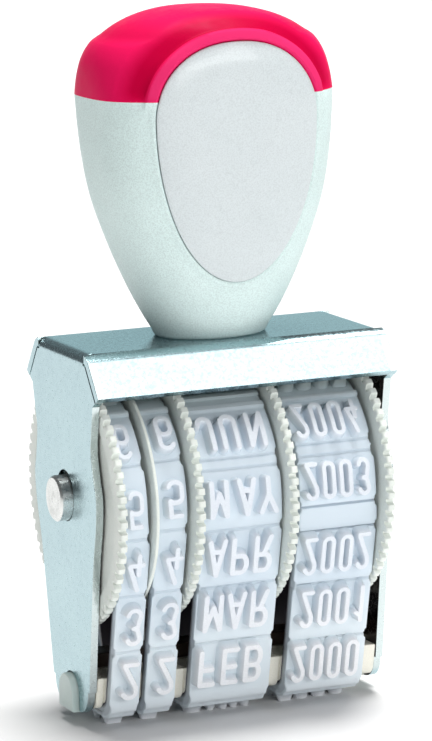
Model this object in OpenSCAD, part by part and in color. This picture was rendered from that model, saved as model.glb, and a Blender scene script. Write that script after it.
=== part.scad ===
// Desk date stamp: a folded steel frame with a moulded handle on top. Inside the
// frame four toothed thumbwheels turn on one axle, and four rubber bands with
// raised type run over their drums and round a plastic shoe just above the paper.
// Millimetres, +Z up, X along the axle, front towards -Y. The origin is on the
// paper, under the middle of the stamp, so the type that prints is at Z = 0.

/* [Frame] */
// Width over the two side plates
frame_w = 32; // [32:0.5:40]
// Height of the top of the frame over the paper
frame_h = 38.1; // [37.45:0.05:40.65]
// Thickness of the steel sheet
sheet_t = 0.8; // [0.6:0.05:1]
// Radius inside the bends between the top and the side plates
side_bend_r = 0.3; // [0.1:0.05:0.6]
// Height of the sloping skirts, from lower edge to the top of the frame
skirt_h = 3.85; // [3:0.05:4.5]
// Distance from the middle to a skirt's lower edge
skirt_reach = 10; // [9:0.1:11]
// Slope of the skirts, down from level
skirt_angle = 52.5; // [45:0.5:60]
// Radius inside the bends between the top and the skirts
skirt_bend_r = 1.1; // [0.5:0.1:1.5]
// Gap between a side plate's edge and the skirt over it
fold_gap = 0.2; // [0.1:0.05:0.4]
// Width of the relief slit at each folded corner
relief_w = 0.3; // [0.15:0.05:0.5]
// Height of a side plate's lower edge over the paper
plate_clear = 1.4; // [1.2:0.1:2.1]

/* [Side plates] */
// Half depth of a plate at its lower edge
foot_half = 4.6; // [4:0.1:5.5]
// Half depth of a plate at the ears beside the axle
ear_half = 8.55; // [8:0.05:9.5]
// Height of the ears over the axle
ear_rise = 1.1; // [0:0.1:2.5]
// Half depth of a plate at the waist under the skirts
waist_half = 7.5; // [7:0.1:8.5]
// Height of the waist over the axle
waist_rise = 5.8; // [5:0.1:6.5]
// Length of the straighter run under an ear
ear_run = 7; // [5:0.5:9]
// Length of the short curves beside the ears and the waist
sweep_run = 2; // [1.5:0.1:2.5]
// How far the edge swings in along a short curve
edge_sweep = 0.35; // [0.2:0.05:0.6]
// Radius of a plate's lower corners
foot_r = 2.5; // [1:0.1:3.5]

/* [Axle] */
// Distance from the top of the frame down to the axle
axle_drop = 15.25; // [14.5:0.05:16]
// Diameter of the axle under the wheels
axle_d = 5.4; // [5:0.1:7]
// Diameter of the turned-down ends
axle_end_d = 4.6; // [3.6:0.1:4.8]
// How far the ends stand out of the plates
axle_proud = 1.25; // [0.8:0.05:1.6]
// Edge break on the ends
axle_chamfer = 0.2; // [0.1:0.05:0.4]
// Free height over an end in its slot
slot_rise = 0.45; // [0.2:0.05:0.8]

/* [Wheels] */
// Diameter of a toothed flange over the teeth
flange_d = 26; // [25.4:0.1:26.6]
// Width of a toothed flange
flange_w = 0.8; // [0.6:0.05:1]
// Number of teeth on a flange
tooth_count = 66; // [50:1:80]
// Depth of the teeth
tooth_h = 0.75; // [0.5:0.05:1]
// Diameter of the drums that carry the bands
drum_d = 18.9; // [18:0.1:19.2]
// Number of grip flutes round a drum
flute_count = 24; // [16:1:32]
// Depth of the grip flutes
flute_h = 0.35; // [0.2:0.05:0.6]
// Share of the width between the plates that the tens drum takes
tens_share = 0.107; // [0.1:0.001:0.115]
// Share that the units drum takes
units_share = 0.12; // [0.115:0.001:0.13]
// Share that the month drum takes
month_share = 0.2995; // [0.29:0.0005:0.305]
// Share that the year drum takes
year_share = 0.3125; // [0.305:0.0005:0.315]
// Width of the smooth divider between the day wheels
divider_w = 0.35; // [0.25:0.05:0.45]
// Diameter of the smooth divider
divider_d = 24; // [23:0.1:24.4]

/* [Bands] */
// Thickness of the band itself
band_t = 0.9; // [0.7:0.05:1]
// Height of the fields that carry the type
field_h = 0.45; // [0.3:0.05:0.6]
// Height of the type
type_h = 1.1; // [0.9:0.05:1.2]
// Number of fields round a band
field_count = 12; // [10:1:13]
// Width of the grooves between fields
groove_w = 0.35; // [0.2:0.05:0.8]
// Length of the type along the band
type_len = 4; // [3:0.1:4.5]
// How far the printing row sits forward of the middle
type_shift = 0.8; // [0:0.1:1.2]
// Gap between two neighbouring types
type_gap = 0.35; // [0.2:0.05:0.6]
// Free strip at each side of a row of type
type_margin = 0.3; // [0.2:0.05:0.5]
// Width of the tens drum that its band leaves free
tens_free = 0.1; // [0.1:0.05:0.3]
// Width of the units drum that its band leaves free
units_free = 0.4; // [0.3:0.05:0.7]
// Width of the month drum that its band leaves free
month_free = 0.45; // [0.4:0.05:0.9]
// Width of the year drum that its band leaves free
year_free = 0.9; // [0.8:0.05:1.4]

/* [Shoe] */
// Half depth of the shoe under the bands
shoe_half = 4.75; // [4.3:0.05:5.1]
// Radius of the shoe's lower edges
shoe_r = 0.95; // [0.6:0.05:1.2]
// Height of the shoe's top over the paper
shoe_top = 5.35; // [4.85:0.05:5.85]
// Depth of the rib along the shoe
rib_w = 3.2; // [2:0.1:4]
// Height of the rib
rib_h = 1.6; // [1:0.1:2]
// Half depth of the fins between the bands
fin_half = 4.5; // [4.3:0.05:4.8]
// Height of the fins' lower edge over the paper
fin_clear = 2; // [1.65:0.05:2.45]
// Radius of the fins' lower corners
fin_r = 1; // [0.5:0.1:1.2]
// Diameter of the stubs that sit in the side plates
stub_d = 3.8; // [3.2:0.1:4]
// Height of the stubs' middle over the paper
stub_h = 3.1; // [2.95:0.05:3.25]
// How far the stubs stand out of the plates
stub_proud = 0.7; // [0.4:0.05:1]

/* [Handle] */
// Height of the whole stamp
total_h = 70.85; // [68:0.05:74]
// Half width of the handle at its widest
handle_half_w = 12.4; // [11.5:0.1:13]
// Half thickness of the handle at its widest
handle_half_t = 9.6; // [9:0.1:10.5]
// Half width of the handle's foot
neck_half_w = 5.45; // [5:0.05:6.5]
// Half thickness of the handle's foot
neck_half_t = 4.45; // [4:0.05:5]
// Share of the handle's height at which the cap begins
joint_share = 0.742; // [0.7:0.002:0.78]
// Half width of the boss that the cap is pushed over
boss_half_w = 9; // [8:0.1:9.6]
// Half thickness of the boss
boss_half_t = 6.4; // [5.5:0.1:7]
// Share of the cap's height that the boss takes
boss_share = 0.5; // [0.35:0.05:0.6]
// Half width of the oval panels
panel_half_w = 8.5; // [7.5:0.1:9]
// Share of the handle's height at a panel's lower end
panel_low = 0.183; // [0.15:0.001:0.25]
// Share of the handle's height where a panel is widest
panel_wide = 0.681; // [0.6:0.001:0.7]
// Share of the handle's height at a panel's upper end
panel_high = 0.911; // [0.85:0.001:0.92]
// Thickness of the panels
panel_t = 0.8; // [0.5:0.1:1.2]
// How far the panels stand out of the handle
panel_proud = 0.2; // [0.1:0.05:0.3]
// Diameter of the screw that holds the handle
screw_d = 4; // [3:0.1:4.4]
// Length of the screw inside the handle
screw_reach = 12; // [8:0.5:18]
// Diameter of the screw's head
screw_head_d = 5; // [4.8:0.1:5.2]
// Height of the screw's head
screw_head_h = 1.2; // [0.9:0.05:1.3]
// Diameter of the washer under the head
washer_d = 5.8; // [5.4:0.1:6]
// Thickness of the washer
washer_t = 0.5; // [0.3:0.05:0.6]

/* [Clearances] */
// Radial clearance of the wheels on the axle
bore_clear = 0.05; // [0.02:0.01:0.1]
// Side play between neighbours on the axle
side_play = 0.06; // [0.04:0.01:0.07]
// Radial clearance of the axle's ends in the plates
end_clear = 0.06; // [0.03:0.01:0.1]
// Gap between the drums and the bands
drum_gap = 0.15; // [0.1:0.01:0.2]
// Gap between the shoe and the bands
shoe_gap = 0.05; // [0.02:0.01:0.1]
// Gap between the fins and the bands' edges
fin_gap = 0.08; // [0.05:0.01:0.12]
// Gap round the stubs in the plates
stub_gap = 0.15; // [0.05:0.01:0.2]
// Gap between the handle's moulded pieces
mould_gap = 0.1; // [0.05:0.01:0.15]
// Radial clearance of the screw
screw_clear = 0.05; // [0.02:0.01:0.1]

/* [Hidden] */
$fn = 64;
far = 60;
cut = 0.5;
ring_points = 36;
ring_steps = 12;
// Where a tooth's flat top ends, as a share of the pitch
tooth_top = 0.75;
// Exponents of the panels' outline: 1 gives an ellipse, less gives fuller corners
panel_round_high = 0.92;
panel_round_low = 1;
panel_round_tip = 0.96;
// How far a straight edge lies inside the arc that it runs into
tuck = 0.0005;

// The frame's sheet
inner_half = frame_w / 2 - sheet_t;
axle_h = frame_h - axle_drop;
roof_under = frame_h - sheet_t;
skirt_bottom = frame_h - skirt_h;
bend_out = skirt_bend_r + sheet_t;
roof_half = skirt_reach - skirt_h / tan(skirt_angle) - bend_out * tan(skirt_angle / 2);
side_bend_out = side_bend_r + sheet_t;

// Widths of the drums and of their bands
tens_drum_w = 2 * inner_half * tens_share;
units_drum_w = 2 * inner_half * units_share;
month_drum_w = 2 * inner_half * month_share;
year_drum_w = 2 * inner_half * year_share;
tens_band_w = tens_drum_w - tens_free;
units_band_w = units_drum_w - units_free;
month_band_w = month_drum_w - month_free;
year_band_w = year_drum_w - year_free;

// Places along the axle, from the left plate to the right one
tens_flange_x = -inner_half + side_play;
tens_drum_x = tens_flange_x + flange_w;
divider_x = tens_drum_x + tens_drum_w + side_play;
units_drum_x = divider_x + divider_w + side_play;
units_flange_x = units_drum_x + units_drum_w;
month_drum_x = units_flange_x + flange_w + side_play;
month_flange_x = month_drum_x + month_drum_w;
year_drum_x = month_flange_x + flange_w + side_play;
year_flange_x = year_drum_x + year_drum_w;
spacer_x = year_flange_x + flange_w + side_play;
spacer_w = inner_half - side_play - spacer_x;
spacer_d = 9;

// Each band's left edge on its drum
tens_band_x = tens_drum_x + tens_free / 2;
units_band_x = units_drum_x + units_free / 10;
month_band_x = month_drum_x + month_free * 3 / 4;
year_band_x = year_drum_x + year_free * 6 / 7;

// The bands' inner loop: round the drum, straight down and round the shoe
loop_r = drum_d / 2 + drum_gap;
loop_low = type_h + field_h + band_t;
corner_r = shoe_r + shoe_gap;
corner_y = shoe_half - shoe_r;
corner_z = loop_low + corner_r;
centre_gap = norm([corner_y, axle_h - corner_z]);
lean = asin((loop_r - corner_r) / centre_gap) - atan(corner_y / (axle_h - corner_z));
straight_len = sqrt(centre_gap * centre_gap - (loop_r - corner_r) * (loop_r - corner_r));
corner_end = corner_y + corner_r * (90 - lean) * PI / 180;
straight_end = corner_end + straight_len;
half_loop = straight_end + loop_r * (90 + lean) * PI / 180;
field_pitch = 2 * half_loop / field_count;

// Heights on the handle
handle_h = total_h - frame_h;
joint_rise = handle_h * joint_share;
joint_z = frame_h + joint_rise;
boss_h = (total_h - joint_z) * boss_share;
panel_low_z = frame_h + handle_h * panel_low;
panel_wide_z = frame_h + handle_h * panel_wide;
panel_high_z = frame_h + handle_h * panel_high;

// Rows of the handle: share of the height up to the joint, share of the widening
// from foot to widest, the same for the thickness, and the roundness exponent
body_rows = [[0, 0, 0, 2], [0.008, 0.039, 0.058, 2.02], [0.035, 0.082, 0.155, 2.06],
    [0.097, 0.201, 0.346, 2.13], [0.212, 0.388, 0.584, 2.32], [0.377, 0.61, 0.796, 2.57],
    [0.578, 0.827, 0.934, 2.83], [0.784, 0.941, 0.986, 2.99], [1, 1, 1, 3]];
// Rows of the cap: share of its height, share of the widest half width, the same
// for the thickness, and the roundness exponent
cap_rows = [[0, 1, 1, 3], [0.2, 0.994, 0.996, 2.75], [0.42, 0.968, 0.985, 2.45],
    [0.6, 0.906, 0.953, 2.2], [0.75, 0.79, 0.915, 2.05], [0.86, 0.626, 0.835, 2],
    [0.94, 0.43, 0.659, 2], [0.985, 0.25, 0.39, 2], [1, 0.04, 0.08, 2]];

// A smooth value between the rows of a list
function spline(a, b, c, d, t) = b + 0.5 * t * (c - a + t * (2 * a - 5 * b + 4 * c - d
    + t * (3 * (b - c) + d - a)));
function row_at(rows, u) = let (
    n = len(rows) - 1,
    i = min(n - 1, floor(u)),
    t = u - i)
    spline(rows[max(0, i - 1)], rows[i], rows[i + 1], rows[min(n, i + 2)], t);

// One ring of a loft: a rounded oval, drawn in by inset
function oval_ring(half_w, half_t, round, z, inset) = [for (i = [0:ring_points - 1])
    let (a = 360 * i / ring_points,
        r = pow(pow(abs(cos(a)), round) + pow(abs(sin(a)), round), -1 / round))
    [(half_w - inset) * r * cos(a), (half_t - inset) * r * sin(a), z]];

// A closed skin over a list of rings of ring_points points each
module loft(rings) {
    n = len(rings);
    m = ring_points;
    points = [for (r = rings) each r];
    sides = [for (k = [0:n - 2]) for (i = [0:m - 1]) let (j = (i + 1) % m)
        each [[k * m + i, k * m + m + i, k * m + j], [k * m + j, k * m + m + i, k * m + m + j]]];
    low = [for (i = [0:m - 1]) i];
    high = [for (i = [0:m - 1]) n * m - 1 - i];
    polyhedron(points, concat([low], sides, [high]), convexity = 6);
}

function body_ring(u, inset) = let (r = row_at(body_rows, u))
    oval_ring(neck_half_w + (handle_half_w - neck_half_w) * r[1],
        neck_half_t + (handle_half_t - neck_half_t) * r[2], r[3],
        frame_h + joint_rise * r[0], inset);
function cap_ring(u, inset) = let (r = row_at(cap_rows, u))
    oval_ring(handle_half_w * r[1], handle_half_t * r[2], r[3],
        joint_z + (total_h - joint_z - inset) * r[0], inset * r[1]);

// The skin of the whole handle with its cap, drawn in by inset
module handle_skin(inset) {
    body_last = len(body_rows) - 1;
    cap_last = len(cap_rows) - 1;
    loft(concat([for (k = [0:ring_steps]) body_ring(body_last * k / ring_steps, inset)],
        [for (k = [1:ring_steps]) cap_ring(cap_last * k / ring_steps, inset)]));
}

// A slab over the whole handle, up to height h over the joint or down to the foot
module below_joint(h) {
    translate([-far / 2, -far / 2, frame_h - cut]) cube([far, far, joint_rise + h + cut]);
}

// The boss inside the cap, grown by grow, from the joint up to height h
module cap_boss(grow, h) {
    run = boss_half_w - boss_half_t;
    r = boss_half_t + grow;
    translate([0, 0, joint_z - cut]) linear_extrude(h + cut) {
        translate([-run, -r]) square([2 * run, 2 * r]);
        for (s = [-1, 1]) translate([s * run, 0]) circle(r = r);
    }
}

function signed_power(v, p) = sign(v) * pow(abs(v), p);

// Outline of the oval panels in X and Z, pointed below and round above
module panel_outline(grow) {
    steps = 12;
    low_h = panel_wide_z - panel_low_z + grow;
    high_h = panel_high_z - panel_wide_z + grow;
    w = panel_half_w + grow;
    polygon([for (i = [0:4 * steps - 1]) let (a = 90 * i / steps, h = sin(a) > 0 ? high_h : low_h,
        p = sin(a) > 0 ? panel_round_high : panel_round_low)
        [w * signed_power(cos(a), p), panel_wide_z + h * signed_power(sin(a), panel_round_tip)]]);
}

// The part of space in front of or behind the handle that a panel's outline takes
module panel_prism(grow) {
    rotate([90, 0, 0]) linear_extrude(far) panel_outline(grow);
}

// Lays a profile drawn in Y and Z along X, from x over length w
module along_x(x, w) {
    translate([x, 0, 0]) rotate([90, 0, 90]) linear_extrude(w) children();
}

// Quarter bend of the sheet from the top into a side plate, in X and Z
module side_bend() {
    intersection() {
        difference() {
            circle(r = side_bend_out);
            circle(r = side_bend_r);
        }
        square(2 * side_bend_out);
    }
}

// The space under the roof and one skirt, up to t over the sheet's inner face
module under_skirt(t) {
    out = [sin(skirt_angle), cos(skirt_angle)];
    down = [cos(skirt_angle), -sin(skirt_angle)];
    centre = [roof_half, frame_h - bend_out];
    touch = centre + (skirt_bend_r + t - tuck) * out;
    translate(centre) circle(r = skirt_bend_r + t);
    polygon([[0, centre[1]], [0, centre[1] + skirt_bend_r + t],
        [roof_half, centre[1] + skirt_bend_r + t], centre, touch,
        touch + 2 * skirt_h * down, [0, skirt_bottom - skirt_h]]);
}

// The roof, its bend and the skirt, drawn in Y and Z from the middle outwards
module skirt_profile() {
    lip = [skirt_reach, skirt_bottom];
    inward = -[sin(skirt_angle), cos(skirt_angle)];
    intersection() {
        difference() {
            under_skirt(sheet_t);
            under_skirt(0);
        }
        polygon([[0, frame_h + cut], [2 * skirt_reach, frame_h + cut],
            lip - skirt_reach * inward, lip + skirt_reach * inward, [0, roof_under - cut]]);
    }
}

// Outline of a side plate in Y and Z: foot, straight taper, ear, waist and shoulder
module plate_outline() {
    taper = (ear_half - foot_half) / (axle_h + ear_rise - plate_clear);
    shoulder_half = (waist_half + skirt_reach) / 2 - edge_sweep;
    path = [[foot_half, plate_clear], [ear_half - edge_sweep - ear_run * taper, axle_h - ear_run],
        [ear_half - edge_sweep, axle_h - sweep_run], [ear_half, axle_h + ear_rise],
        [ear_half - 1.5 * edge_sweep, axle_h + ear_rise + sweep_run],
        [waist_half, axle_h + waist_rise], [waist_half + edge_sweep, axle_h + waist_rise + sweep_run],
        [shoulder_half, skirt_bottom - sweep_run / 2]];
    steps = 6;
    last = len(path) - 1;
    side = [for (i = [1:last - 1]) for (k = [0:steps - 1])
        spline(path[i - 1], path[i], path[i + 1], path[min(last, i + 2)], k / steps)];
    half = concat([path[0]], side, [path[last], [skirt_reach, skirt_bottom],
        [skirt_reach, frame_h - side_bend_out]]);
    difference() {
        intersection() {
            polygon(concat(half, [for (i = [len(half) - 1:-1:0]) [-half[i][0], half[i][1]]]));
            union() {
                translate([-far / 2, plate_clear + foot_r]) square([far, far]);
                translate([-foot_half + foot_r, plate_clear])
                    square([2 * (foot_half - foot_r), far]);
                for (s = [-1, 1])
                    translate([s * (foot_half - foot_r), plate_clear + foot_r]) circle(r = foot_r);
            }
        }
        // The skirts' own space, with the gap under the fold
        for (s = [0, 1]) mirror([s, 0]) {
            translate([skirt_reach, skirt_bottom]) rotate(90 - skirt_angle)
                translate([-sheet_t - fold_gap, -far / 2]) square([far, far]);
        }
    }
}

module side_plate(x) {
    slot_r = axle_end_d / 2 + end_clear;
    stub_slot = stub_d / 2 + stub_gap;
    difference() {
        along_x(x, sheet_t) plate_outline();
        // The axle's slot, closed above and below
        along_x(x - cut, sheet_t + 2 * cut) {
            translate([0, axle_h]) circle(r = slot_r);
            translate([0, axle_h + slot_rise]) circle(r = slot_r);
            translate([-slot_r, axle_h]) square([2 * slot_r, slot_rise]);
        }
        // The shoe's slot, open at the lower edge
        along_x(x - cut, sheet_t + 2 * cut) {
            translate([0, stub_h]) circle(r = stub_slot);
            translate([-stub_slot, plate_clear - cut]) square([2 * stub_slot, stub_h - plate_clear + cut]);
        }
    }
}

module frame() {
    color("lightsteelblue") difference() {
        union() {
            difference() {
                for (s = [0, 1]) mirror([0, s, 0]) along_x(-frame_w / 2, frame_w) skirt_profile();
                // Free corners where the top turns down into the side plates
                for (s = [0, 1]) mirror([s, 0, 0])
                    translate([frame_w / 2 - side_bend_out, -roof_half - relief_w, roof_under - cut])
                        cube([side_bend_out + cut, 2 * (roof_half + relief_w), sheet_t + 2 * cut]);
            }
            for (s = [0, 1]) mirror([s, 0, 0]) {
                translate([frame_w / 2 - side_bend_out, roof_half, frame_h - side_bend_out])
                    rotate([90, 0, 0]) linear_extrude(2 * roof_half) side_bend();
                translate([inner_half, -roof_half, skirt_bottom - 2])
                    cube([sheet_t, 2 * roof_half, skirt_h + 2 - side_bend_out]);
                side_plate(inner_half);
            }
        }
        translate([0, 0, roof_under - cut])
            cylinder(r = screw_d / 2 + screw_clear, h = sheet_t + 2 * cut);
    }
}

// What the two panels take out of the handle and the cap
module panel_recess() {
    difference() {
        for (s = [0, 1]) mirror([0, s, 0]) panel_prism(mould_gap);
        handle_skin(panel_t - panel_proud + mould_gap);
    }
}

module handle_body() {
    color("honeydew") difference() {
        union() {
            difference() {
                intersection() {
                    handle_skin(0);
                    below_joint(0);
                }
                panel_recess();
            }
            cap_boss(0, boss_h);
        }
        translate([0, 0, frame_h - cut])
            cylinder(r = screw_d / 2 + screw_clear, h = screw_reach + 2 * cut);
    }
}

module handle_cap() {
    color("crimson") difference() {
        handle_skin(0);
        below_joint(0);
        panel_recess();
        cap_boss(mould_gap, boss_h + mould_gap);
    }
}

module panel(s) {
    color("whitesmoke") mirror([0, s, 0]) intersection() {
        panel_prism(0);
        difference() {
            handle_skin(-panel_proud);
            handle_skin(panel_t - panel_proud);
        }
    }
}

module front_panel() {
    panel(0);
}

module back_panel() {
    panel(1);
}

module handle_screw() {
    head_top = roof_under - washer_t;
    color("silver") {
        translate([0, 0, head_top - screw_head_h]) cylinder(d = screw_head_d, h = screw_head_h);
        translate([0, 0, head_top - cut])
            cylinder(d = screw_d, h = washer_t + sheet_t + screw_reach + cut);
    }
}

module screw_washer() {
    color("gainsboro") translate([0, 0, roof_under - washer_t]) difference() {
        cylinder(d = washer_d, h = washer_t);
        translate([0, 0, -cut]) cylinder(r = screw_d / 2 + screw_clear, h = washer_t + 2 * cut);
    }
}

module axle() {
    end_x = frame_w / 2 + axle_proud;
    body_half = inner_half - side_play;
    color("darkgray") translate([0, 0, axle_h]) rotate([0, 90, 0]) {
        translate([0, 0, -body_half]) cylinder(d = axle_d, h = 2 * body_half);
        translate([0, 0, -end_x + axle_chamfer]) cylinder(d = axle_end_d, h = 2 * (end_x - axle_chamfer));
        for (s = [0, 1]) mirror([0, 0, s]) translate([0, 0, end_x - axle_chamfer])
            cylinder(d1 = axle_end_d, d2 = axle_end_d - 2 * axle_chamfer, h = axle_chamfer);
    }
}

// Outline of a toothed flange: flat-topped teeth with slanting flanks
module flange_outline() {
    tip = flange_d / 2;
    root = tip - tooth_h;
    pitch = 360 / tooth_count;
    polygon([for (i = [0:tooth_count - 1]) for (p = [[0, root], [1 - tooth_top, tip], [tooth_top, tip]])
        let (a = pitch * (i + p[0])) p[1] * [cos(a), sin(a)]]);
}

// Outline of a drum with shallow grip flutes
module drum_outline() {
    difference() {
        circle(d = drum_d);
        for (i = [0:flute_count - 1]) rotate(360 * i / flute_count)
            translate([drum_d / 2 + flute_h, 0]) circle(r = 2 * flute_h, $fn = 24);
    }
}

// A thumbwheel: the drum from drum_x over drum_w, and the flange at flange_x
module thumbwheel(drum_x, drum_w, flange_x) {
    first = min(drum_x, flange_x);
    color("beige") translate([0, 0, axle_h]) difference() {
        union() {
            along_x(drum_x, drum_w) drum_outline();
            along_x(flange_x, flange_w) flange_outline();
        }
        along_x(first - cut, drum_w + flange_w + 2 * cut) circle(r = axle_d / 2 + bore_clear);
    }
}

module day_tens_wheel() {
    thumbwheel(tens_drum_x, tens_drum_w, tens_flange_x);
}

module day_units_wheel() {
    thumbwheel(units_drum_x, units_drum_w, units_flange_x);
}

module month_wheel() {
    thumbwheel(month_drum_x, month_drum_w, month_flange_x);
}

module year_wheel() {
    thumbwheel(year_drum_x, year_drum_w, year_flange_x);
}

module day_divider() {
    color("beige") translate([0, 0, axle_h]) along_x(divider_x, divider_w) difference() {
        circle(d = divider_d);
        circle(r = axle_d / 2 + bore_clear);
    }
}

module end_spacer() {
    color("beige") translate([0, 0, axle_h]) along_x(spacer_x, spacer_w) difference() {
        circle(d = spacer_d);
        circle(r = axle_d / 2 + bore_clear);
    }
}

// The bands' loop, grown outwards by t, as a filled shape in Y and Z
module loop_shape(t) {
    up = [cos(lean), -sin(lean)];
    drum_touch = [0, axle_h] + (loop_r + t - tuck) * up;
    shoe_touch = [corner_y, corner_z] + (corner_r + t - tuck) * up;
    low = loop_low - t;
    translate([0, axle_h]) circle(r = loop_r + t, $fn = 96);
    for (s = [-1, 1]) translate([s * corner_y, corner_z]) circle(r = corner_r + t, $fn = 32);
    polygon([[corner_y, low], [corner_y, corner_z], shoe_touch, drum_touch, [0, axle_h],
        [-drum_touch[0], drum_touch[1]], [-shoe_touch[0], shoe_touch[1]],
        [-corner_y, corner_z], [-corner_y, low]]);
}

// Point and outward direction on the loop, s along it from the middle of the shoe
function loop_point(s) = s <= corner_y ? [s, loop_low]
    : s <= corner_end ? [corner_y, corner_z] + corner_r * [cos(loop_turn(s)), sin(loop_turn(s))]
    : s <= straight_end ? [corner_y, corner_z] + corner_r * [cos(lean), -sin(lean)]
        + (s - corner_end) * [sin(lean), cos(lean)]
    : [0, axle_h] + loop_r * [cos(loop_turn(s)), sin(loop_turn(s))];
function loop_turn(s) = s <= corner_y ? -90
    : s <= corner_end ? -90 + (s - corner_y) / corner_r * 180 / PI
    : s <= straight_end ? -lean
    : -lean + (s - straight_end) / loop_r * 180 / PI;

// Places a shape at s along the loop, its own X pointing outwards
module at_loop(s) {
    back = s > half_loop;
    t = back ? 2 * half_loop - s : s;
    mirror([back ? 0 : 1, 0]) translate(loop_point(t)) rotate(loop_turn(t)) children();
}

// Base, fields and type of one band, with columns types in a row
module band(x, w, columns) {
    type_w = (w - 2 * type_margin - (columns - 1) * type_gap) / columns;
    color("aliceblue") {
        along_x(x, w) difference() {
            loop_shape(band_t + field_h);
            loop_shape(0);
            for (k = [0:field_count - 1]) at_loop((k + 0.5) * field_pitch - type_shift)
                translate([band_t, -groove_w / 2]) square([2 * field_h, groove_w]);
        }
        for (j = [0:columns - 1]) along_x(x + type_margin + j * (type_w + type_gap), type_w)
            intersection() {
                difference() {
                    loop_shape(band_t + field_h + type_h);
                    loop_shape(band_t + field_h / 2);
                }
                for (k = [1:field_count]) at_loop(k * field_pitch - type_shift)
                    translate([0, -type_len / 2]) square([loop_low + cut, type_len]);
            }
    }
}

module day_tens_band() {
    band(tens_band_x, tens_band_w, 1);
}

module day_units_band() {
    band(units_band_x, units_band_w, 1);
}

module month_band() {
    band(month_band_x, month_band_w, 3);
}

module year_band() {
    band(year_band_x, year_band_w, 4);
}

// Outline of a fin between two bands, in Y and Z
module fin_outline() {
    translate([-fin_half, fin_clear + fin_r]) square([2 * fin_half, shoe_top - fin_clear - fin_r]);
    translate([-fin_half + fin_r, fin_clear]) square([2 * (fin_half - fin_r), fin_r + cut]);
    for (s = [-1, 1]) translate([s * (fin_half - fin_r), fin_clear + fin_r]) circle(r = fin_r);
}

module shoe() {
    end = inner_half - side_play;
    edges = [-end, tens_band_x, tens_band_x + tens_band_w, units_band_x, units_band_x + units_band_w,
        month_band_x, month_band_x + month_band_w, year_band_x, year_band_x + year_band_w, end];
    color("ivory") {
        along_x(-end, 2 * end) {
            intersection() {
                loop_shape(-shoe_gap);
                translate([-far / 2, -far + shoe_top]) square([far, far]);
            }
            translate([-rib_w / 2, shoe_top - cut]) square([rib_w, rib_h + cut]);
        }
        for (k = [0:2:len(edges) - 2]) {
            left = edges[k] + (k == 0 ? 0 : fin_gap);
            right = edges[k + 1] - (k == len(edges) - 2 ? 0 : fin_gap);
            along_x(left, right - left) fin_outline();
        }
        for (s = [0, 1]) mirror([s, 0, 0]) translate([end - cut, 0, stub_h])
            rotate([0, 90, 0]) cylinder(d = stub_d, h = frame_w / 2 + stub_proud - end + cut);
    }
}

frame();
handle_body();
handle_cap();
front_panel();
back_panel();
handle_screw();
screw_washer();
axle();
day_tens_wheel();
day_units_wheel();
month_wheel();
year_wheel();
day_divider();
end_spacer();
day_tens_band();
day_units_band();
month_band();
year_band();
shoe();
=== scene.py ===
import math

import bmesh
import bpy
import numpy as np
from mathutils import Matrix, Vector
from mathutils.geometry import delaunay_2d_cdt


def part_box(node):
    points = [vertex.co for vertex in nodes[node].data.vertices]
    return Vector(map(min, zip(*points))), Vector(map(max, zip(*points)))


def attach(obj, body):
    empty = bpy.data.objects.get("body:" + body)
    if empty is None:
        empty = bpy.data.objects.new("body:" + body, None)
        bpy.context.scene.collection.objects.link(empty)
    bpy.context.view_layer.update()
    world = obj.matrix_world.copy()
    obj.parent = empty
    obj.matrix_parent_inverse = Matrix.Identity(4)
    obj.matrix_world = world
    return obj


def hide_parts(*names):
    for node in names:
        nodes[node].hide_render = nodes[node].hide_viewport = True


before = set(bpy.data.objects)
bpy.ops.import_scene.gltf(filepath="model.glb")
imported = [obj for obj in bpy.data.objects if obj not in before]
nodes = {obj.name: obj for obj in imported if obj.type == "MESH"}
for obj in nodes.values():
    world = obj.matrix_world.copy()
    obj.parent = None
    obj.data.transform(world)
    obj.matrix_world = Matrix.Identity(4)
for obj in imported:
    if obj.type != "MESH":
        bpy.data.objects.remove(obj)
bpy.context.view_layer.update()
mm = 0.001  # every length below is in millimetres, and turns into metres in makePiece
print("frame loaded:", len(nodes), "nodes")


def addObject(name, data):
    made = bpy.data.objects.new(name, data)
    bpy.context.scene.collection.objects.link(made)
    return made


def setInputs(node, values):
    for name, value in values.items():
        node.inputs[name].default_value = value


# Camera, as the photograph was taken
cameraPlan = {
    "azimuth": -22.38, "elevation": 9.77, "roll": -1.55,
    "distance": 400.0, "aim": (0.0, 0.0, 34.25),
    "focalPixels": 3989.08, "longSide": 741.0, "offsetPixels": (-5.17, -0.70),
}


def placeCamera(plan):
    # The camera looks back along its own Z. Right comes level from up cross back, and the roll turns both.
    a, e, r = (math.radians(plan[k]) for k in ("azimuth", "elevation", "roll"))
    back = Vector((math.sin(a) * math.cos(e), -math.cos(a) * math.cos(e), math.sin(e)))
    level = Vector((0, 0, 1)).cross(back).normalized()
    upright = back.cross(level)
    right = level * math.cos(r) + upright * math.sin(r)
    up = -level * math.sin(r) + upright * math.cos(r)
    camera = addObject("photoCamera", bpy.data.cameras.new("photoCamera"))
    turn = Matrix((right, up, back)).transposed().to_4x4()
    spot = (Vector(plan["aim"]) + back * plan["distance"]) * mm
    camera.matrix_world = Matrix.Translation(spot) @ turn
    camera.data.sensor_fit = "AUTO"
    camera.data.sensor_width = 36
    camera.data.lens = plan["focalPixels"] * 36 / plan["longSide"]
    camera.data.shift_x = -plan["offsetPixels"][0] / plan["longSide"]
    camera.data.shift_y = plan["offsetPixels"][1] / plan["longSide"]
    camera.data.clip_start, camera.data.clip_end = 0.01, 20
    bpy.context.scene.camera = camera


placeCamera(cameraPlan)


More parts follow.
